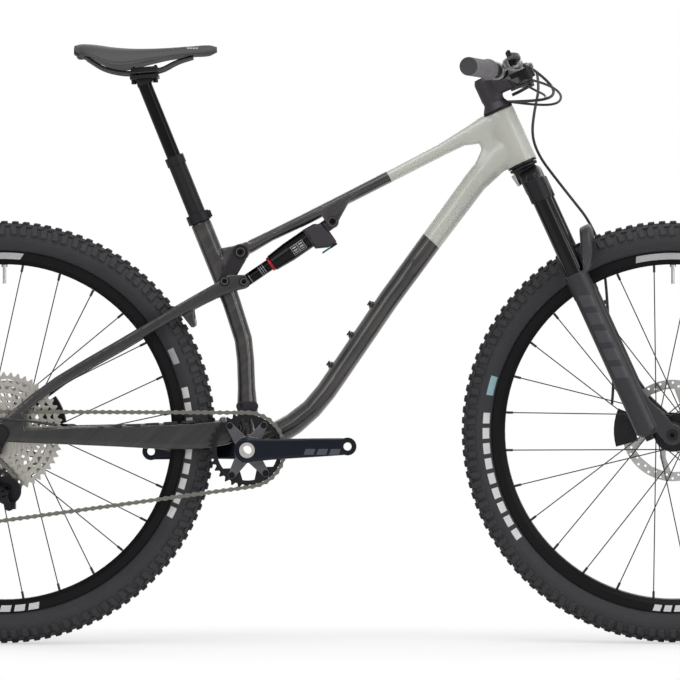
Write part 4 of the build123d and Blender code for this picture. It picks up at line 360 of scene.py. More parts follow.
# ---- Rocker link and rear shock ----------------------
# Two forged plates swing beside the seat tube. The shock is a gloss black air can with a red
# seal, on a hard-coated shaft, and a cast grey head; a blue lever under it firms it up.
SHOCK_EYE = Vector((-0.1655, 0, 0.636))
SHOCK_TOP = Vector((-0.0105, 0, 0.7419))
SHOCK_ALONG = (SHOCK_TOP - SHOCK_EYE).normalized()
SHOCK_UP = Vector((-SHOCK_ALONG.z, 0, SHOCK_ALONG.x))
# metres from the lower eye along the shock
RED_SEAL = (0.0500, 0.0586)
CAST_HEAD = (0.1362, 0.30)
LABEL_STARTS = (0.1000, 0.1130)
SHAFT_LINES = (0.0115, 0.0335, 0.0375, 0.0415)
SHAFT_LINE = 0.0011
# two bare labels on the can: an outline round three bars, in metres off the shock's axis
LABEL_LENGTH = 0.0120
LABEL_LOW, LABEL_HIGH = -0.0125, 0.0045
LABEL_OUTLINE = 0.0007
LABEL_MARGIN = 0.0024
LABEL_BARS = ((-0.0098, -0.0084), (-0.0062, -0.0034), (-0.0012, 0.0016))
LEVER_HUB = (-0.0135, 0.05)  # the lever's black end, along x


def patch(made, *ranges):
    """1 inside a box; each range is a value with its two limits."""
    return joined(made, "MULTIPLY", [inside(made, *one) for one in ranges])


def marked(made, boxes, colour, roughness):
    """Tint a material inside each of several boxes."""
    tinted(made, joined(made, "MAXIMUM", [patch(made, *box) for box in boxes]), colour, roughness)


# Forged aluminium, tumbled and anodised: a softer, greyer black than the shock's can.
LINK_BLACK = metal("forged_black_aluminium", "#343135", 0.4)
moulded("rocker_link", LINK_BLACK, 0.0009, 3)
# Gloss anodising on a turned can: almost a mirror, in black.
CAN_BLACK = metal("gloss_black_can", "#0f0f11", 0.16, 0.7)
can_t = reach_along(CAN_BLACK, SHOCK_ALONG, SHOCK_EYE)
can_n = reach_along(CAN_BLACK, SHOCK_UP, SHOCK_EYE)
tinted(CAN_BLACK, inside(CAN_BLACK, can_t, *RED_SEAL), "#a8242e", 0.45)
tinted(CAN_BLACK, inside(CAN_BLACK, can_t, *CAST_HEAD), "#3f3c41", 0.5)
marks = []
for start in LABEL_STARTS:
    end = start + LABEL_LENGTH
    whole = patch(CAN_BLACK, (can_t, start, end), (can_n, LABEL_LOW, LABEL_HIGH))
    inner = patch(
        CAN_BLACK,
        (can_t, start + LABEL_OUTLINE, end - LABEL_OUTLINE),
        (can_n, LABEL_LOW + LABEL_OUTLINE, LABEL_HIGH - LABEL_OUTLINE),
    )
    marks.append(joined(CAN_BLACK, "SUBTRACT", [whole, inner]))
    for bar in LABEL_BARS:
        length = (can_t, start + LABEL_MARGIN, end - LABEL_MARGIN)
        marks.append(patch(CAN_BLACK, length, (can_n, *bar)))
tinted(CAN_BLACK, joined(CAN_BLACK, "MAXIMUM", marks), "#a5a3a6", 0.5)
moulded("shock_body", CAN_BLACK, 0.0008, 3)
# Hard anodising on a ground shaft: smooth and dark, with fine pale travel lines.
SHAFT_BLACK = metal("hard_coated_shaft", "#151517", 0.18)
reach = reach_along(SHAFT_BLACK, SHOCK_ALONG, SHOCK_EYE)
lines = [inside(SHAFT_BLACK, reach, at, at + SHAFT_LINE) for at in SHAFT_LINES]
tinted(SHAFT_BLACK, joined(SHAFT_BLACK, "MAXIMUM", lines), "#9a989b", 0.4)
dress(SHAFT_BLACK, "shock_shaft")
# Blue anodising: bright metal seen through a clear colour.
BLUE = metal("blue_anodised_aluminium", "#3f7688", 0.35)
tinted(BLUE, inside(BLUE, reach_along(BLUE, (1, 0, 0)), *LEVER_HUB), "#232225", 0.4)
dress(BLUE, "shock_lever")


# ---- Tyres -------------------------------------------
# Two 29 inch trail tyres of matt dark rubber. The casing is smooth, with fine mould rings,
# and rows of blocks stand on it: pairs on the crown, a staggered row beside, large shoulders.
CASING_CENTRE = 0.3405  # radius of the middle of the casing's section
CASING_HIGH = 0.0272
CASING_HALF = 0.0287
CASING_FOOT = math.radians(142)
CASING_WALL = 0.0026
MOULD_RING = 0.00045
RIM_EDGE = (0.3157, 0.0140)
CASING_STEPS = 240
BLOCK_ROWS = 60  # pairs of rows round the tyre
# angle from the crown, half length and half width in mm, height in mm, shift in rows, skew
BLOCKS = (
    (10.0, 5.4, 4.6, 4.0, 0.00, 0.12),
    (10.0, 5.0, 4.0, 4.0, 0.50, 0.12),
    (36.0, 4.8, 4.4, 3.8, 0.27, 0.20),
    (36.0, 4.2, 3.8, 3.8, 0.80, 0.20),
    (64.0, 5.8, 7.2, 4.0, 0.06, -0.10),
    (64.0, 5.4, 6.6, 4.0, 0.49, -0.10),
)
STEER_REST = -6.0


def joint(name):
    """Where a joint's axis passes, and the axis."""
    found = next(j for j in frame["joints"] if j["name"] == name)
    return Vector(found["pos_m"]), Vector(found["axis"]).normalized()


STEER_POINT, STEER_AXIS = joint("steering_turn")
STEERED = (
    Matrix.Translation(STEER_POINT)
    @ Matrix.Rotation(math.radians(STEER_REST), 4, STEER_AXIS)
    @ Matrix.Translation(-STEER_POINT)
)
FRONT_HUB = Matrix.Translation(joint("front_wheel_spin")[0]) @ STEERED.to_3x3().to_4x4()
# the body that a wheel's pieces ride on, and the place of its hub
FRONT = ("front_wheel", FRONT_HUB)
REAR = ("rear_wheel", Matrix.Translation(joint("rear_wheel_spin")[0]))


def piece(name, work, made, body, place=None, smooth=True):
    """A new object from a bmesh: placed, given its material, and riding on its body."""
    mesh = bpy.data.meshes.new(name)
    bmesh.ops.recalc_face_normals(work, faces=work.faces)
    work.to_mesh(mesh)
    work.free()
    if place is not None:
        mesh.transform(place)
    mesh.materials.append(made)
    obj = shown(name, mesh)
    if smooth:
        mesh.shade_smooth()
    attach(obj, body)
    return obj


def walled(work, rings):
    """Faces between closed rings of vertices, each ring joined to the next."""
    for low, high in zip(rings, rings[1:]):
        count = len(low)
        for k in range(count):
            j = (k + 1) % count
            work.faces.new((low[k], low[j], high[j], high[k]))


def capped(work, rings):
    """A closed solid: walls between the rings, and a face over each end."""
    walled(work, rings)
    work.faces.new(rings[0][::-1])
    work.faces.new(rings[-1])


def ring_point(radius, y, turn):
    """A point round a wheel, from its radius and its place across."""
    return Vector((radius * math.cos(turn), y, radius * math.sin(turn)))


def casing_spot(angle, lift=0.0):
    """Radius and y of a point on the casing, at an angle from the crown towards +Y."""
    radius = CASING_CENTRE + (CASING_HIGH + lift) * math.cos(angle)
    return radius, (CASING_HALF + lift) * math.sin(angle)


def casing_profile():
    """The casing's closed section: outside, bead, inside and the other bead."""
    outer = []
    for k in range(-24, 25):
        lift = MOULD_RING if abs(k) in (17, 23) else 0.0
        outer.append(casing_spot(CASING_FOOT * k / 24, lift))
    radius, y = RIM_EDGE
    bead = [(radius + 0.0035, y + 0.0028), (radius, y), (radius, y - 0.0024)]
    inner = [casing_spot(CASING_FOOT * k / 10, -CASING_WALL) for k in range(9, -10, -1)]
    return outer + bead + inner + [(radius, -y) for radius, y in bead[::-1]]


def block(work, angle, turn, half_long, half_wide, height, skew):
    """A tread block: a chamfered, slightly tapered box laid on the casing's curve."""
    crown = CASING_CENTRE + CASING_HIGH
    rings = []
    for lift, grow in ((-0.0006, 1.10), (height * 0.82, 0.97), (height, 0.80)):
        ring = []
        for u, v in ((-1, -1), (1, -1), (1, 1), (-1, 1)):
            across = angle + v * half_wide * grow / CASING_HALF
            along = u * half_long * grow + skew * v * half_wide * (1 if angle > 0 else -1)
            radius, y = casing_spot(across, lift)
            ring.append(work.verts.new(ring_point(radius, y, turn + along / crown)))
        rings.append(ring)
    capped(work, rings)


def tyre(name, made, body, place):
    """A tyre's smooth casing and its tread blocks, in place of the CAD node."""
    work = bmesh.new()
    profile = casing_profile()
    rings = []
    for k in range(CASING_STEPS):
        turn = math.tau * k / CASING_STEPS
        rings.append([work.verts.new(ring_point(radius, y, turn)) for radius, y in profile])
    walled(work, rings + rings[:1])
    casing = piece(name + "_casing", work, made, body, place)
    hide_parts(name)
    work = bmesh.new()
    step = math.tau / BLOCK_ROWS
    for k in range(BLOCK_ROWS):
        for side, stagger in ((-1, 0.0), (1, 0.5)):
            for angle, half_long, half_wide, height, shift, skew in BLOCKS:
                sizes = (half_long / 1000, half_wide / 1000, height / 1000)
                block(work, side * math.radians(angle), step * (k + shift + stagger), *sizes, skew)
    piece(name + "_tread", work, made, body, place, smooth=False)


# Vulcanised rubber: matt dark grey, with a dusty bloom and a speckle from the mould.
TYRE_RUBBER = polymer("tyre_rubber", "#262528", 0.78, 2.0)
tyre("front_tyre", TYRE_RUBBER, *FRONT)
tyre("rear_tyre", TYRE_RUBBER, *REAR)


# ---- Pale marks on the tyres and rims ----------------
# Plain dashes of pale ink, printed round part of each sidewall, and bare labels of grey film
# on the rims. The print is a thin layer that follows the rubber.
MARK_LIFT = 0.00025
MARK_FOOT, MARK_TOP = math.radians(136), math.radians(106)
DASH = 3.3  # degrees of the wheel
DASH_STEP = 4.7
RIM_WALL = 0.0170  # half the rim's width at RIM_WALL_AT, growing outwards by RIM_FLARE
RIM_WALL_AT = 0.303
RIM_FLARE = 0.037
LABEL_FOOT = 0.3042
LABEL_HEIGHT = 0.0112


def film(work, spot, along, across, steps):
    """A thin closed patch on a surface; spot(u, v, lift) gives the surface's points."""
    (u0, u1), (v0, v1) = along, across
    heights = [v0 + (v1 - v0) * j / steps[1] for j in range(steps[1] + 1)]
    rings = []
    for i in range(steps[0] + 1):
        u = u0 + (u1 - u0) * i / steps[0]
        under = [spot(u, v, -MARK_LIFT) for v in heights]
        over = [spot(u, v, MARK_LIFT) for v in reversed(heights)]
        rings.append([work.verts.new(point) for point in under + over])
    capped(work, rings)


def printed(name, rows, made, body, place):
    """Patches on both sidewalls; each row gives a patch's first and last degree."""
    work = bmesh.new()
    for side in (-1, 1):

        def spot(turn, angle, lift):
            return ring_point(*casing_spot(side * angle, lift), turn)

        for start, end in rows:
            film(work, spot, (math.radians(start), math.radians(end)), (MARK_FOOT, MARK_TOP), (6, 8))
    piece(name, work, made, body, place, smooth=False)


def dashes(first, count):
    """The first and last degrees of evenly spaced dashes."""
    starts = [first + DASH_STEP * k for k in range(count)]
    return [(start, start + DASH) for start in starts]


def rim_label(name, start, end, lean, made, body, place):
    """A bare label on both walls of a rim, its ends sloped."""
    work = bmesh.new()
    for side in (-1, 1):

        def spot(u, v, lift):
            radius = LABEL_FOOT + LABEL_HEIGHT * v
            wall = RIM_WALL + (radius - RIM_WALL_AT) * RIM_FLARE
            turn = math.radians(start + (end - start) * u) - lean * (v - 0.5)
            return ring_point(radius, side * (wall + lift), turn)

        film(work, spot, (0, 1), (0, 1), (10, 2))
    piece(name, work, made, body, place, smooth=False)


# Printing inks on rubber: flat and a little worn, pale, grey-blue and grey.
PALE_INK = polymer("pale_printing_ink", "#b9b7b8", 0.6)
BLUE_INK = polymer("grey_blue_printing_ink", "#7d9ba3", 0.6)
GREY_INK = polymer("grey_printing_ink", "#8c8a8c", 0.6)
# Matt label film: smoother than the ink, so it catches a little more light.
GREY_FILM = polymer("grey_film", "#9b999a", 0.45)
printed("front_tyre_dashes", dashes(174.0, 9), PALE_INK, *FRONT)
printed("front_tyre_badge", [(162.5, 168.5)], BLUE_INK, *FRONT)
printed("rear_tyre_dashes", dashes(-27.0, 9), PALE_INK, *REAR)
printed("rear_tyre_badge", [(21.5, 26.5)], GREY_INK, *REAR)
rim_label("front_rim_label", 87.0, 102.0, 0.01, GREY_FILM, *FRONT)
rim_label("rear_rim_label", 84.0, 94.0, 0.02, GREY_FILM, *REAR)
for step in range(3):
    low, high = 264.0 + 3.4 * step, 266.4 + 3.4 * step
    rim_label(f"front_rim_dash_{step}", low, high, 0.01, PALE_INK, *FRONT)
    low, high = 269.0 + 4.6 * step, 272.4 + 4.6 * step
    rim_label(f"rear_rim_dash_{step}", low, high, 0.01, PALE_INK, *REAR)


# ---- Rims, spokes, hubs and discs --------------------
# Extruded alloy rims in satin black on butted black spokes, with forged hubs. The discs are
# stamped and ground steel, bright on the band where the pads run.
VALVE_REACH = (0.2, 0.2944)  # metres from the hub; the valve's bare stem stands inside the rim
# Extruded, anodised aluminium: deep black with a satin sheen along the wall.
RIM_BLACK = metal("satin_black_rim", "#1a191b", 0.42)
for hub in (FRONT[1].translation, REAR[1].translation):
    away = vectors(RIM_BLACK, "DISTANCE", rest_place(RIM_BLACK), hub)["Value"]
    tinted(RIM_BLACK, inside(RIM_BLACK, away, *VALVE_REACH), "#c4c2bf", 0.3)
# Drawn steel wire, blackened: dark, with a thin bright line along each spoke.
SPOKE_BLACK = metal("black_spoke_steel", "#3a393c", 0.35)
# Ground stainless steel: bright, with soft reflections.
DISC_STEEL = metal("ground_steel", "#b9b8b5", 0.3, 1.0)
dress(RIM_BLACK, "front_rim", "rear_rim")
dress(SPOKE_BLACK, "front_spokes", "rear_spokes")
dress(BLACK_SATIN, "front_hub", "rear_hub", "front_caliper", "rear_caliper", "front_axle")
dress(DISC_STEEL, "front_rotor", "rear_rotor")


# ---- Cranks, chainring and cassette ------------------
# Hollow-forged alloy arms, polished and anodised blue-black, on a steel axle. The ring is
# machined alloy with a bead-blasted black finish; the sprockets are nickel-plated steel.
CRANK_AXIS = (-0.159048, 0.342)  # x, z
SPIDER_Y = (-0.0612, -0.0530)
SPIDER_REACH = (0.0185, 0.07)
SPINDLE_REACH = (0.016, 0.2)
# three plain bars on the right arm's outer face, leaning back
BAR_STARTS = (-0.1775, -0.1555, -0.1335)
BAR_LENGTH = 0.017
BAR_HEIGHTS = (0.3345, 0.3445)
BAR_LEAN = (1, 0, -0.35)

# Polished forged aluminium, anodised: a blue-black with tight, bright highlights.
CRANK_BLACK = metal("blue_black_forged_aluminium", "#1c2029", 0.2, 0.75)
across = reach_along(CRANK_BLACK, (0, 1, 0))
spider = patch(CRANK_BLACK, (across, *SPIDER_Y), (from_axis(CRANK_BLACK, *CRANK_AXIS), *SPIDER_REACH))
tinted(CRANK_BLACK, spider, "#5d5d61", 0.42)
leaning = reach_along(CRANK_BLACK, BAR_LEAN)
height = reach_along(CRANK_BLACK, (0, 0, 1))
sides = ((height, *BAR_HEIGHTS), (across, -0.2, -0.05))
bars = [((leaning, start, start + BAR_LENGTH), *sides) for start in BAR_STARTS]
marked(CRANK_BLACK, bars, "#55565e", 0.4)
moulded("crank_arms", CRANK_BLACK, 0.0011, 4)
# Polished steel, bright at the axle's end, with blackened bolts round it.
AXLE_STEEL = metal("polished_axle_steel", "#c9c8c4", 0.24, 1.0)
bolts = inside(AXLE_STEEL, from_axis(AXLE_STEEL, *CRANK_AXIS), *SPINDLE_REACH)
tinted(AXLE_STEEL, bolts, "#242326", 0.4)
dress(AXLE_STEEL, "crank_spindle")
# Bead-blasted, anodised aluminium: an even, soft black.
RING_BLACK = metal("blasted_black_aluminium", "#29292b", 0.5)
dress(RING_BLACK, "chainring")
# Nickel plate on stamped steel: a warm, bright silver.
NICKEL = metal("nickel_plated_steel", "#bdbab2", 0.28, 1.0)
dress(NICKEL, "cassette")


# ---- Chain -------------------------------------------
# A twelve-speed bush roller chain: pressed steel side plates, narrow and wide in turn, on
# pins and rollers at half-inch pitch. It wraps the ring, a middle sprocket and both pulleys.
PITCH = 0.0127
CHAIN_Y = -0.052
# x, z and teeth of each wheel that the chain passes, and 1 or -1 for the side it wraps
CHAIN_WHEELS = (
    (*CRANK_AXIS, 32, 1),
    (-0.588, 0.372, 18, 1),
    (-0.591, 0.284, 13, -1),
    (-0.652, 0.236, 13, 1),
)
PLATE_END = 0.0043
PLATE_WAIST = 0.0024
NARROW_PLATE = (0.00115, 0.00185)  # the plate's faces, off the chain's middle
WIDE_PLATE = (0.00195, 0.00265)
PIN_R, PIN_HALF = 0.0018, 0.0029
ROLLER_R, ROLLER_HALF = 0.0038, 0.0011


def chain_line():
    """Points along the loop that the pins follow, closely spaced, from runs and arcs."""
    wheels = []
    for x, z, teeth, turn in CHAIN_WHEELS:
        wheels.append((x, z, PITCH / (2 * math.sin(math.pi / teeth)), turn))
    bases = []
    for (ax, az, ar, at), (bx, bz, br, bt) in zip(wheels, wheels[1:] + wheels[:1]):
        apart = math.hypot(bx - ax, bz - az)
        bases.append(math.atan2(bz - az, bx - ax) - math.acos((at * ar - bt * br) / apart))
    points = []
    for k, (x, z, radius, turn) in enumerate(wheels):
        start, end = bases[k - 1], bases[k]
        sweep = (end - start) % math.tau if turn > 0 else -((start - end) % math.tau)
        for step in range(25):
            angle = start + sweep * step / 24
            points.append(Vector((x, 0, z)) + ring_point(turn * radius, CHAIN_Y, angle))
    return points + points[:1]


def pins_along(points):
    """Evenly spaced pins along a closed line, an even number of them."""
    lengths = [(b - a).length for a, b in zip(points, points[1:])]
    count = 2 * round(sum(lengths) / PITCH / 2)
    step = sum(lengths) / count
    pins, passed, k = [], 0.0, 0
    for n in range(count):
        while passed + lengths[k] < n * step:
            passed += lengths[k]
            k += 1
        pins.append(points[k].lerp(points[k + 1], (n * step - passed) / lengths[k]))
    return pins


def round_bar(work, centre, half, radius, sides):
    """A closed cylinder along Y."""
    rings = []
    for y in (-half, half):
        spots = [centre + ring_point(radius, y, math.tau * k / sides) for k in range(sides)]
        rings.append([work.verts.new(spot) for spot in spots])
    capped(work, rings)


def side_plate(work, a, b, y0, y1):
    """A waisted plate about two pins, with its edges eased."""
    along = (b - a).normalized()
    up = Vector((-along.z, 0, along.x))
    middle = (a + b) / 2
    outline = []
    for centre, base, waist in ((b, 0.0, PLATE_WAIST), (a, math.pi, -PLATE_WAIST)):
        for k in range(7):
            turn = base + math.radians(-72 + 24 * k)
            outline.append(centre + (along * math.cos(turn) + up * math.sin(turn)) * PLATE_END)
        outline.append(middle + up * waist)
    rings = []
    for part, share in ((0.0, 0.93), (0.25, 1.0), (0.75, 1.0), (1.0, 0.93)):
        shift = Vector((0, y0 + (y1 - y0) * part, 0))
        rings.append([work.verts.new(middle + (p - middle) * share + shift) for p in outline])
    capped(work, rings)


def chain(made):
    """Every link of the loop as one piece, in place of the CAD node."""
    work = bmesh.new()
    pins = pins_along(chain_line())
    for k, pin in enumerate(pins):
        after = pins[(k + 1) % len(pins)]
        inner, outer = NARROW_PLATE if k % 2 else WIDE_PLATE
        for side in (-1, 1):
            side_plate(work, pin, after, side * inner, side * outer)
        round_bar(work, pin, PIN_HALF, PIN_R, 10)
        round_bar(work, pin, ROLLER_HALF, ROLLER_R, 14)
    links = piece("chain_links", work, made, "frame", smooth=False)
    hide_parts("chain")


# Nickel-plated steel under a film of oil: a duller, darker silver than the sprockets.
CHAIN_STEEL = metal("nickel_plated_chain_steel", "#7d7a74", 0.34, 1.0)
chain(CHAIN_STEEL)


# ---- Rear derailleur ---------------------------------
# Forged black links and knuckle, a stamped steel cage and two moulded nylon pulleys. It
# hangs from the frame's rear end and carries the chain across the sprockets.

# Anodised forgings: black with a clear sheen on their rounded edges.
DERAILLEUR_BLACK = metal("black_forged_derailleur", "#262629", 0.34)
dress(DERAILLEUR_BLACK, "derailleur_links", "derailleur_knuckle", "derailleur_cage")
# Moulded nylon: black and slightly waxy, with no metal shine.
NYLON = polymer("moulded_nylon", "#1e1e20", 0.6)
dress(NYLON, "guide_pulley", "tension_pulley")


# ---- Suspension fork ---------------------------------
# A forged alloy crown on slick black tubes, and cast magnesium legs in dark satin grey
# joined by an arch. Rubber wipers sit on the legs' tops.
HEAD_UP = STEER_AXIS
HEAD_FORE = Vector((HEAD_UP.z, 0, -HEAD_UP.x))
STEERED_FORE = STEERED.to_3x3() @ HEAD_FORE
# five plain slanted bars down the outside of the right leg, in metres
LEG_BARS = 5
LEG_BAR_TOP, LEG_BAR_STEP, LEG_BAR_LENGTH = -0.325, -0.034, 0.022
LEG_BAR_WIDTH = (-0.004, 0.018)
LEG_BAR_SLANT = 0.35
# the crown's pale patch: ahead of the axis, along it and across
CROWN_PATCH = ((-0.04, -0.0200), (-0.095, -0.0612), (-0.012, 0.012))

# Cast magnesium, painted satin: dark grey and barely metallic.
CAST_GREY = metal("cast_magnesium_grey", "#2f2e31", 0.45, 0.35)
leg_t = reach_along(CAST_GREY, HEAD_UP + STEERED_FORE * LEG_BAR_SLANT, STEER_POINT)
leg_n = reach_along(CAST_GREY, STEERED_FORE, STEER_POINT)
leg_y = reach_along(CAST_GREY, (0, 1, 0))
sides = ((leg_n, *LEG_BAR_WIDTH), (leg_y, -0.2, -0.06))
lows = [LEG_BAR_TOP + LEG_BAR_STEP * step for step in range(LEG_BARS)]
marked(CAST_GREY, [((leg_t, low, low + LEG_BAR_LENGTH), *sides) for low in lows], "#404046", 0.42)
moulded("fork_lowers", CAST_GREY, 0.0014, 3)
# Blasted and anodised forging, with a bare pale patch behind it.
CROWN_BLACK = metal("black_anodised_crown", "#2b2a2c", 0.42)
fore = reach_along(CROWN_BLACK, HEAD_FORE, STEER_POINT)
up = reach_along(CROWN_BLACK, HEAD_UP, STEER_POINT)
across = reach_along(CROWN_BLACK, (0, 1, 0))
box = [(value, *limits) for value, limits in zip((fore, up, across), CROWN_PATCH)]
marked(CROWN_BLACK, [box], "#b9b9b5", 0.6)
moulded("fork_crown", CROWN_BLACK, 0.0012, 4)
# The tubes' slippery hard coating: black, with sharp reflections.
SLICK_BLACK = metal("slick_black_coating", "#0c0c0d", 0.1, 0.5)
dress(SLICK_BLACK, "fork_stanchions")
dress(BLACK_SATIN, "compression_dial", "rebound_dial")


# ---- Handlebar, stem and levers ----------------------
# A forged stem holds a butted alloy bar in satin black. Painted silver brake masters with
# black levers and the shifter with its two thumb paddles are clamped inboard of the grips.
dress(BLACK_SATIN, "handlebar", "bar_controls", "brake_lever_left", "brake_lever_right", "dropper_lever")
dress(NYLON, "shift_paddle_up", "shift_paddle_down")
# Bead-blasted, anodised aluminium: the softest and greyest black on the bicycle.
STEM_BLACK = metal("bead_blasted_black_stem", "#423f43", 0.5)
moulded("stem", STEM_BLACK, 0.0011, 2)
# Silver paint on cast aluminium: a plain mid grey with a soft shine.
SILVER_PAINT = metal("silver_painted_aluminium", "#8f8f90", 0.35)
moulded("brake_masters", SILVER_PAINT, 0.0009, 2)


# ---- Grips -------------------------------------------
# Moulded rubber sleeves with fine ribs along them, a flange at the inner end and a closed
# cap with a raised rim outside.
BAR_HEIGHT, BAR_REACH = 0.0915, 0.0615
BAR_BEND, BAR_UP, BAR_BACK = 0.035, 0.09, 0.167
GRIP_START, GRIP_END = 0.260, 0.3931
GRIP_R = 0.0150
GRIP_RIBS = 44
RIB_HEIGHT = 0.0005
RIBBED_FROM, RIBBED_TO = 0.0056, 0.0076  # from the sleeve's two ends
GROOVES = 15  # shallow rings that cross the ribs
GROOVE_HALF, GROOVE_DEPTH = 0.0006, 0.0002
# distance from the sleeve's start and radius, then the same from the cap's end
GRIP_FLANGE = ((0.0, 0.0112), (0.0, 0.0174), (0.0006, 0.0179), (0.0034, 0.0179), (0.0042, 0.0170))
GRIP_CAP = (
    *((0.0070, GRIP_R), (0.0064, 0.0155), (0.0012, 0.0155), (0.0002, 0.0147)),
    *((0.0, 0.0134), (0.0006, 0.0126), (0.0008, 0.0060)),
)


def fork_point(t, n, y):
    """A point of the steered assembly: t up the head axis, n ahead of it, all in metres."""
    return STEERED @ (STEER_POINT + HEAD_UP * t + HEAD_FORE * n + Vector((0, y, 0)))


def bar_point(y):
    """A point on the handlebar's centre line."""
    out = max(0.0, abs(y) - BAR_BEND)
    return fork_point(BAR_HEIGHT + BAR_UP * out, BAR_REACH - BAR_BACK * out, y)


def grip(name, side, made):
    """A ribbed sleeve, as rings along the bar from its flange to its cap."""
    first, last = bar_point(side * GRIP_START), bar_point(side * GRIP_END)
    along = (last - first).normalized()
    across_bar = along.cross(HEAD_UP).normalized()
    upward = across_bar.cross(along)
    length = (last - first).length
    # distance along the bar, radius and how far the ribs stand out
    rows = [(at, radius, 0.0) for at, radius in GRIP_FLANGE]
    rows += [(0.0050, GRIP_R, 0.0), (RIBBED_FROM, GRIP_R, 1.0)]
    for k in range(1, GROOVES + 1):
        at = RIBBED_FROM + (length - RIBBED_FROM - 0.0080) * k / (GROOVES + 1)
        rows.append((at - GROOVE_HALF, GRIP_R, 1.0))
        rows.append((at, GRIP_R - GROOVE_DEPTH, 0.6))
        rows.append((at + GROOVE_HALF, GRIP_R, 1.0))
    rows.append((length - RIBBED_TO, GRIP_R, 1.0))
    rows += [(length - back, radius, 0.0) for back, radius in GRIP_CAP]
    work = bmesh.new()
    rings = []
    sides = GRIP_RIBS * 4
    for at, radius, ribbed in rows:
        ring = []
        for k in range(sides):
            turn = math.tau * k / sides
            reach = radius + (ribbed * RIB_HEIGHT if k % 4 in (1, 2) else 0.0)
            spot = first + along * at + (across_bar * math.cos(turn) + upward * math.sin(turn)) * reach
            ring.append(work.verts.new(spot))
        rings.append(ring)
    capped(work, rings)
    sleeve = piece(name, work, made, "steering")
    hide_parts("grips")


# Soft moulded rubber: a dusty mid grey, darker on the smooth caps.
GRIP_RUBBER = polymer("grip_rubber", "#5f5c5f", 0.8)
caps = []
for side in (1, -1):
    inner, outer = bar_point(side * GRIP_START), bar_point(side * GRIP_END)
    reach = reach_along(GRIP_RUBBER, (outer - inner).normalized(), outer)
    caps.append(inside(GRIP_RUBBER, reach, -0.0010, 0.01))
tinted(GRIP_RUBBER, joined(GRIP_RUBBER, "MAXIMUM", caps), "#3f3d40")
grip("grip_left", 1, GRIP_RUBBER)
grip("grip_right", -1, GRIP_RUBBER)


# ---- Cables and hoses --------------------------------
# Brake hoses of braided line in a smooth black jacket, 5 mm thick, and slimmer housings for
# the shifter and the seat post. Each leaves its lever and runs into a port of the frame.
DERAILLEUR_HOUSING = (  # x, y, z in mm
    *((-490, -69.5, 385.8), (-545, -87, 394), (-597, -94, 399)),
    *((-640, -94, 380), (-658, -90, 338), (-646, -83, 309.5)),
)
# CAD node, the hose's radius in mm and its length in metres, and its route in mm, each point
# as up the head axis, ahead of it and left
STEERED_HOSES = {
    "rear_brake_hose": (
        *("control_hoses", 2.5, 0.226),
        ((92, 86, -158), (66, 101, -128), (39, 108, -86), (31, 94, -38), (43, 58, -10), (59, 21.5, -6)),
    ),
    "shift_housing": (
        *("control_hoses", 2.2, 0.246),
        ((70, 80, -152), (50, 105, -116), (26, 116, -68), (17, 100, -20), (34, 62, 6), (59.6, 21.5, 3)),
    ),
    "dropper_housing": (
        *("control_hoses", 2.2, 0.201),
        ((84, 55, 152), (62, 70, 122), (44, 86, 82), (36, 82, 40), (45, 54, 16), (59, 19.5, 11)),
    ),
    "front_brake_line": (
        *("front_brake_hose", 2.5, 0.669),
        (
            *((92, 86, 158), (64, 80, 132), (30, 56, 100), (-10, 33, 76), (-50, 30, 68)),
            *((-95, 40, 66), (-145, 52, 70), (-190, 63, 80), (-245, 62, 90), (-305, 44, 93)),
            *((-365, 21, 93), (-425, 2, 91), (-475, -18, 80), (-504, -34, 54)),
        ),
    ),
}


def cable(name, points, radius, length, body, node, made):
    """A smooth hose on its route's points, held at both ends."""
    curve = bpy.data.curves.new(name, "CURVE")
    curve.dimensions = "3D"
    spline = curve.splines.new("NURBS")
    spline.points.add(len(points) - 1)
    for point, place in zip(spline.points, points):
        point.co = (*place, 1.0)
    spline.order_u = 3
    spline.use_endpoint_u = True
    spline.resolution_u = 16
    curve.bevel_depth = radius
    curve.bevel_resolution = 5
    curve.use_fill_caps = True
    curve.materials.append(made)
    obj = shown(name, curve)
    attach(obj, body)
    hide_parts(node)
    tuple(points[0])


def metres(points):
    """Points in mm, as points in metres."""
    return [tuple(value / 1000 for value in point) for point in points]


# Extruded nylon jacket: smooth and black, with one long highlight down each hose.
HOSE_JACKET = polymer("smooth_hose_jacket", "#1c1c1e", 0.38)
for name, (node, radius, length, route) in STEERED_HOSES.items():
    points = [fork_point(*spot) for spot in metres(route)]
    cable(name, points, radius / 1000, length, "steering", node, HOSE_JACKET)
points = metres(DERAILLEUR_HOUSING)
cable("derailleur_cable", points, 0.0022, 0.231, "swingarm", "derailleur_housing", HOSE_JACKET)


# ---- Seat post head and saddle -----------------------
# The post slides in its outer tube and carries a two-bolt clamp on steel rails. The saddle
# is a thin pad of foam under a seamless matt cover, on a stiff nylon shell.
SADDLE_STEPS, SADDLE_AROUND = 84, 48
# x, half width, top, edge and thickness of the pad in the middle, in mm
SADDLE = (
    (-464, 26, 1052, 1041, 7),
    (-450, 58, 1054.5, 1031, 13),
    (-425, 70, 1053, 1025, 18),
    (-395, 71, 1049, 1013, 21),
    (-365, 60, 1047, 1014, 21),
    (-335, 47, 1047, 1021, 18),
    (-300, 34, 1048.5, 1028, 14),
    (-260, 25, 1051, 1033, 12),
    (-228, 20, 1053, 1035, 12),
    (-214, 12, 1050, 1041, 6),
)
SEAM_AT, SEAM_DEPTH = (0.86, 0.89), 0.8  # a welded seam low on each flank, in mm deep
CHANNEL_FROM, CHANNEL_LENGTH = -455.0, 180.0
CHANNEL_DEPTH, CHANNEL_HALF = 1.6, 8.0
PEBBLE_MM = 0.9
COVER_CLOUD_MM = 38.46  # slow changes in the cover's grey
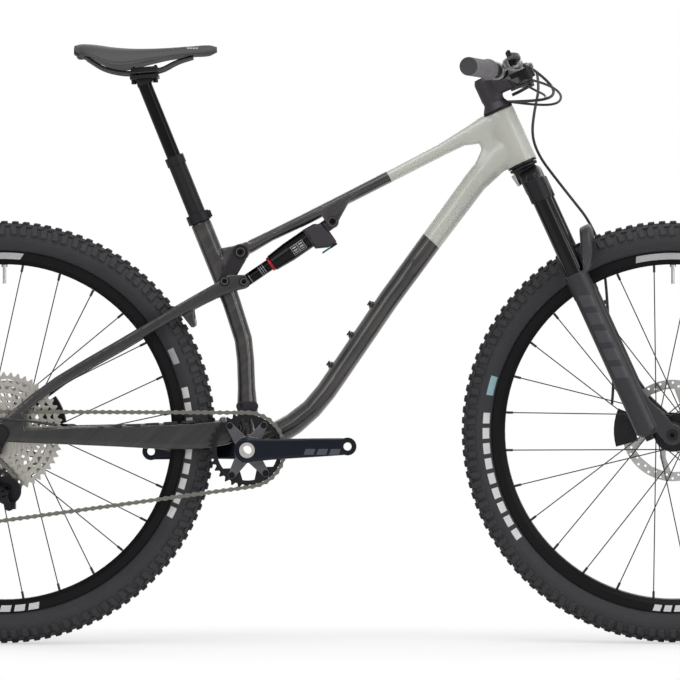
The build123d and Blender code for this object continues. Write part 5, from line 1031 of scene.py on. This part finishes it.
# four short pale dashes beside the nose, along x and up, in metres
NOSE_DASHES = (-0.266, -0.261, -0.256, -0.251)
NOSE_DASH_LENGTH = 0.0040
NOSE_DASH_HEIGHTS = (1.0452, 1.0476)


def between(rows, x):
    """The other values of a table at x, on a smooth curve through its rows."""
    k = max(j for j in range(len(rows) - 1) if rows[j][0] <= x or j == 0)
    before, after = rows[max(k - 1, 0)], rows[min(k + 2, len(rows) - 1)]
    a, b = rows[k], rows[k + 1]
    t = (x - a[0]) / (b[0] - a[0])
    values = []
    for i in range(1, len(a)):
        slope_a = (b[i] - before[i]) / (b[0] - before[0]) * (b[0] - a[0])
        slope_b = (after[i] - a[i]) / (after[0] - a[0]) * (b[0] - a[0])
        values.append(
            (2 * t**3 - 3 * t**2 + 1) * a[i]
            + (t**3 - 2 * t**2 + t) * slope_a
            + (-2 * t**3 + 3 * t**2) * b[i]
            + (t**3 - t**2) * slope_b
        )
    return values


def saddle_pad(made):
    """A crowned pad, lofted along the saddle, with a shallow channel and a rolled edge."""
    work = bmesh.new()
    rings = []
    for i in range(SADDLE_STEPS + 1):
        share = i / SADDLE_STEPS
        ease = 0.5 - 0.5 * math.cos(math.pi * share)
        x = SADDLE[0][0] + (SADDLE[-1][0] - SADDLE[0][0]) * (0.35 * share + 0.65 * ease)
        half, top, edge, thick = between(SADDLE, x)
        half = max(half - 0.6, 4.0)
        along_channel = min(1, max(0, (x - CHANNEL_FROM) / CHANNEL_LENGTH))
        depth = CHANNEL_DEPTH * max(0.0, math.sin(math.pi * along_channel))
        ring = []
        for k in range(SADDLE_AROUND + 1):
            v = -1 + 2 * k / SADDLE_AROUND
            side = math.sin(v * math.pi / 2)
            crown = (1 - abs(side) ** 2.4) ** 0.72 if abs(side) < 1 else 0.0
            seam = SEAM_DEPTH if SEAM_AT[0] < abs(v) < SEAM_AT[1] else 0.0
            channel = depth * math.exp(-((side * half / CHANNEL_HALF) ** 2))
            z = edge + (top - 0.4 - edge) * crown - channel - seam
            ring.append((x, side * (half - seam), z))
        for k in range(SADDLE_AROUND // 2, -1, -1):
            v = -1 + 4 * k / SADDLE_AROUND
            side = math.sin(v * math.pi / 2) * 0.93
            lower = edge - 1.2 + (top - thick - edge + 1.2) * (1 - side**2) ** 0.8
            ring.append((x, side * half, lower))
        rings.append([work.verts.new(Vector(p) / 1000) for p in ring])
    capped(work, rings)
    pad = piece("saddle_cover", work, made, "dropper")
    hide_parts("saddle_pad")


def grained_cover():
    """A seamless synthetic leather: matt, with a fine pebble grain under 1 mm."""
    made, shader = material("synthetic_leather", "#232124", 0.0, 0.55, Sheen_Weight=0.1)
    clouds = noise(made, COVER_CLOUD_MM, 3.0)
    colour = add(made, "MixRGB", Fac=clouds, Color1=linear("#1a181b"), Color2=linear("#292629"))
    wire(made, colour.outputs[0], shader.inputs["Base Color"])
    pebbles = add(made, "TexVoronoi", Vector=rest_place(made), Scale=per_metre(PEBBLE_MM))
    bumped(made, pebbles.outputs[0], 0.12, 0.0003)
    forward, up = reach_along(made, (1, 0, 0)), reach_along(made, (0, 0, 1))
    high = (up, *NOSE_DASH_HEIGHTS)
    marked(made, [((forward, x, x + NOSE_DASH_LENGTH), high) for x in NOSE_DASHES], "#a9a8aa", None)
    return made


# Polished, anodised aluminium: a black so smooth that it shows the lamps.
BLACK_GLOSS = metal("polished_black_anodising", "#1a1a1c", 0.2)
dress(BLACK_GLOSS, "dropper_stanchion")
dress(BLACK_SATIN, "saddle_clamp")
# Coated steel rod: dark grey, with a bright line along its length.
RAIL_STEEL = metal("black_coated_rail_steel", "#4a494a", 0.32)
dress(RAIL_STEEL, "saddle_rails")
dress(NYLON, "saddle_shell")
saddle_pad(grained_cover())


# ---- Studio ------------------------------------------
# A plain white floor with large soft lamps above and in front, as in a product studio. The
# floor and the world stay white to the eye and to polished metal.
VIEW_DISTANCE = 6.5
VIEW_X, VIEW_Z = 0.0027, 0.5338
VIEW_WIDTH = 1.1971  # metres across the view at the bicycle's middle plane
SENSOR = 36.0
MIRRORED = 0.3  # how much of the white shows in glossy surfaces
WORLD_LIGHT = 0.45
FLOOR_HALF, FLOOR_Z = 9.0, -0.0005
# the floor's shadow shows near the wheels and fades into white between these distances
SHADOW_SHAPE = (0.55, 1.6, 0)
SHADOW_FADE = (0.35, 0.7)
SHADOW_WHITE = 0.55


def whitened(made, kind, other, share=1.0):
    """White instead of a shader, for the camera, through glass and partly in mirrors."""
    target = other.outputs[0].links[0].to_socket
    path = add(made, "LightPath")
    seen = path.outputs["Is Camera Ray"]
    for ray, strength in (("Is Glossy Ray", MIRRORED), ("Is Transmission Ray", 1.0)):
        seen = maths(made, "MAXIMUM", seen, maths(made, "MULTIPLY", path.outputs[ray], strength))
    white = add(made, kind, Strength=1.0, Color=(1, 1, 1, 1)).outputs[0]
    whiter = maths(made, "MULTIPLY", seen, share)
    mix = add(made, "MixShader", _0=whiter, _1=other.outputs[0], _2=white)
    wire(made, mix.outputs[0], target)


world = bpy.data.worlds.new("studio")
bpy.context.scene.world = world
world.use_nodes = True
plain = world.node_tree.nodes["Background"]
plain.inputs["Color"].default_value = (1, 1, 1, 1)
plain.inputs["Strength"].default_value = WORLD_LIGHT
whitened(world, "Background", plain)

# Matt white paint on the sweep: it takes a soft shadow and no reflection.
SWEEP, sweep_shader = material("white_sweep", "#f4f4f4", 0.0, 0.9)
flat = vectors(SWEEP, "MULTIPLY", rest_place(SWEEP), SHADOW_SHAPE)[0]
away = vectors(SWEEP, "LENGTH", flat)["Value"]
fade = add(SWEEP, "MapRange", Value=away, To_Min=SHADOW_WHITE, To_Max=1.0)
fade.inputs["From Min"].default_value, fade.inputs["From Max"].default_value = SHADOW_FADE
whitened(SWEEP, "Emission", sweep_shader, fade.outputs[0])
corners = [(x * FLOOR_HALF, y * FLOOR_HALF, FLOOR_Z) for x, y in ((-1, -1), (1, -1), (1, 1), (-1, 1))]
mesh = bpy.data.meshes.new("floor")
mesh.from_pydata(corners, [], [(0, 1, 2, 3)])
mesh.materials.append(SWEEP)
shown("floor", mesh)


def lamp(name, place, aim, size, watts):
    """A large soft lamp, turned towards a point."""
    data = bpy.data.lights.new(name, "AREA")
    data.shape = "RECTANGLE"
    data.size, data.size_y = size
    data.energy = watts
    lit = shown(name, data)
    lit.location = place
    lit.rotation_euler = (Vector(aim) - Vector(place)).to_track_quat("-Z", "Y").to_euler()


lamp("overhead", (0.2, -0.6, 3.4), (0.0, 0.0, 0.4), (3.4, 2.2), 62)
lamp("front_left", (-2.2, -3.6, 2.2), (0.0, 0.0, 0.5), (2.4, 1.6), 32)
lamp("front_right", (3.0, -2.6, 1.6), (0.3, 0.0, 0.5), (1.2, 2.4), 24)
lamp("right_strip", (3.0, -0.9, 0.9), (0.2, 0.0, 0.6), (0.35, 2.0), 16)
lamp("behind", (0.4, 3.2, 2.2), (0.0, 0.0, 0.5), (3.2, 1.4), 26)

camera_data = bpy.data.cameras.new("camera")
camera_data.sensor_width = SENSOR
camera_data.lens = SENSOR * VIEW_DISTANCE / VIEW_WIDTH
camera_data.clip_end = 60
camera = shown("camera", camera_data)
camera.location = (VIEW_X, -VIEW_DISTANCE, VIEW_Z)
camera.rotation_euler = (math.pi / 2, 0, 0)
bpy.context.scene.camera = camera
bpy.context.scene.view_settings.view_transform = "Standard"
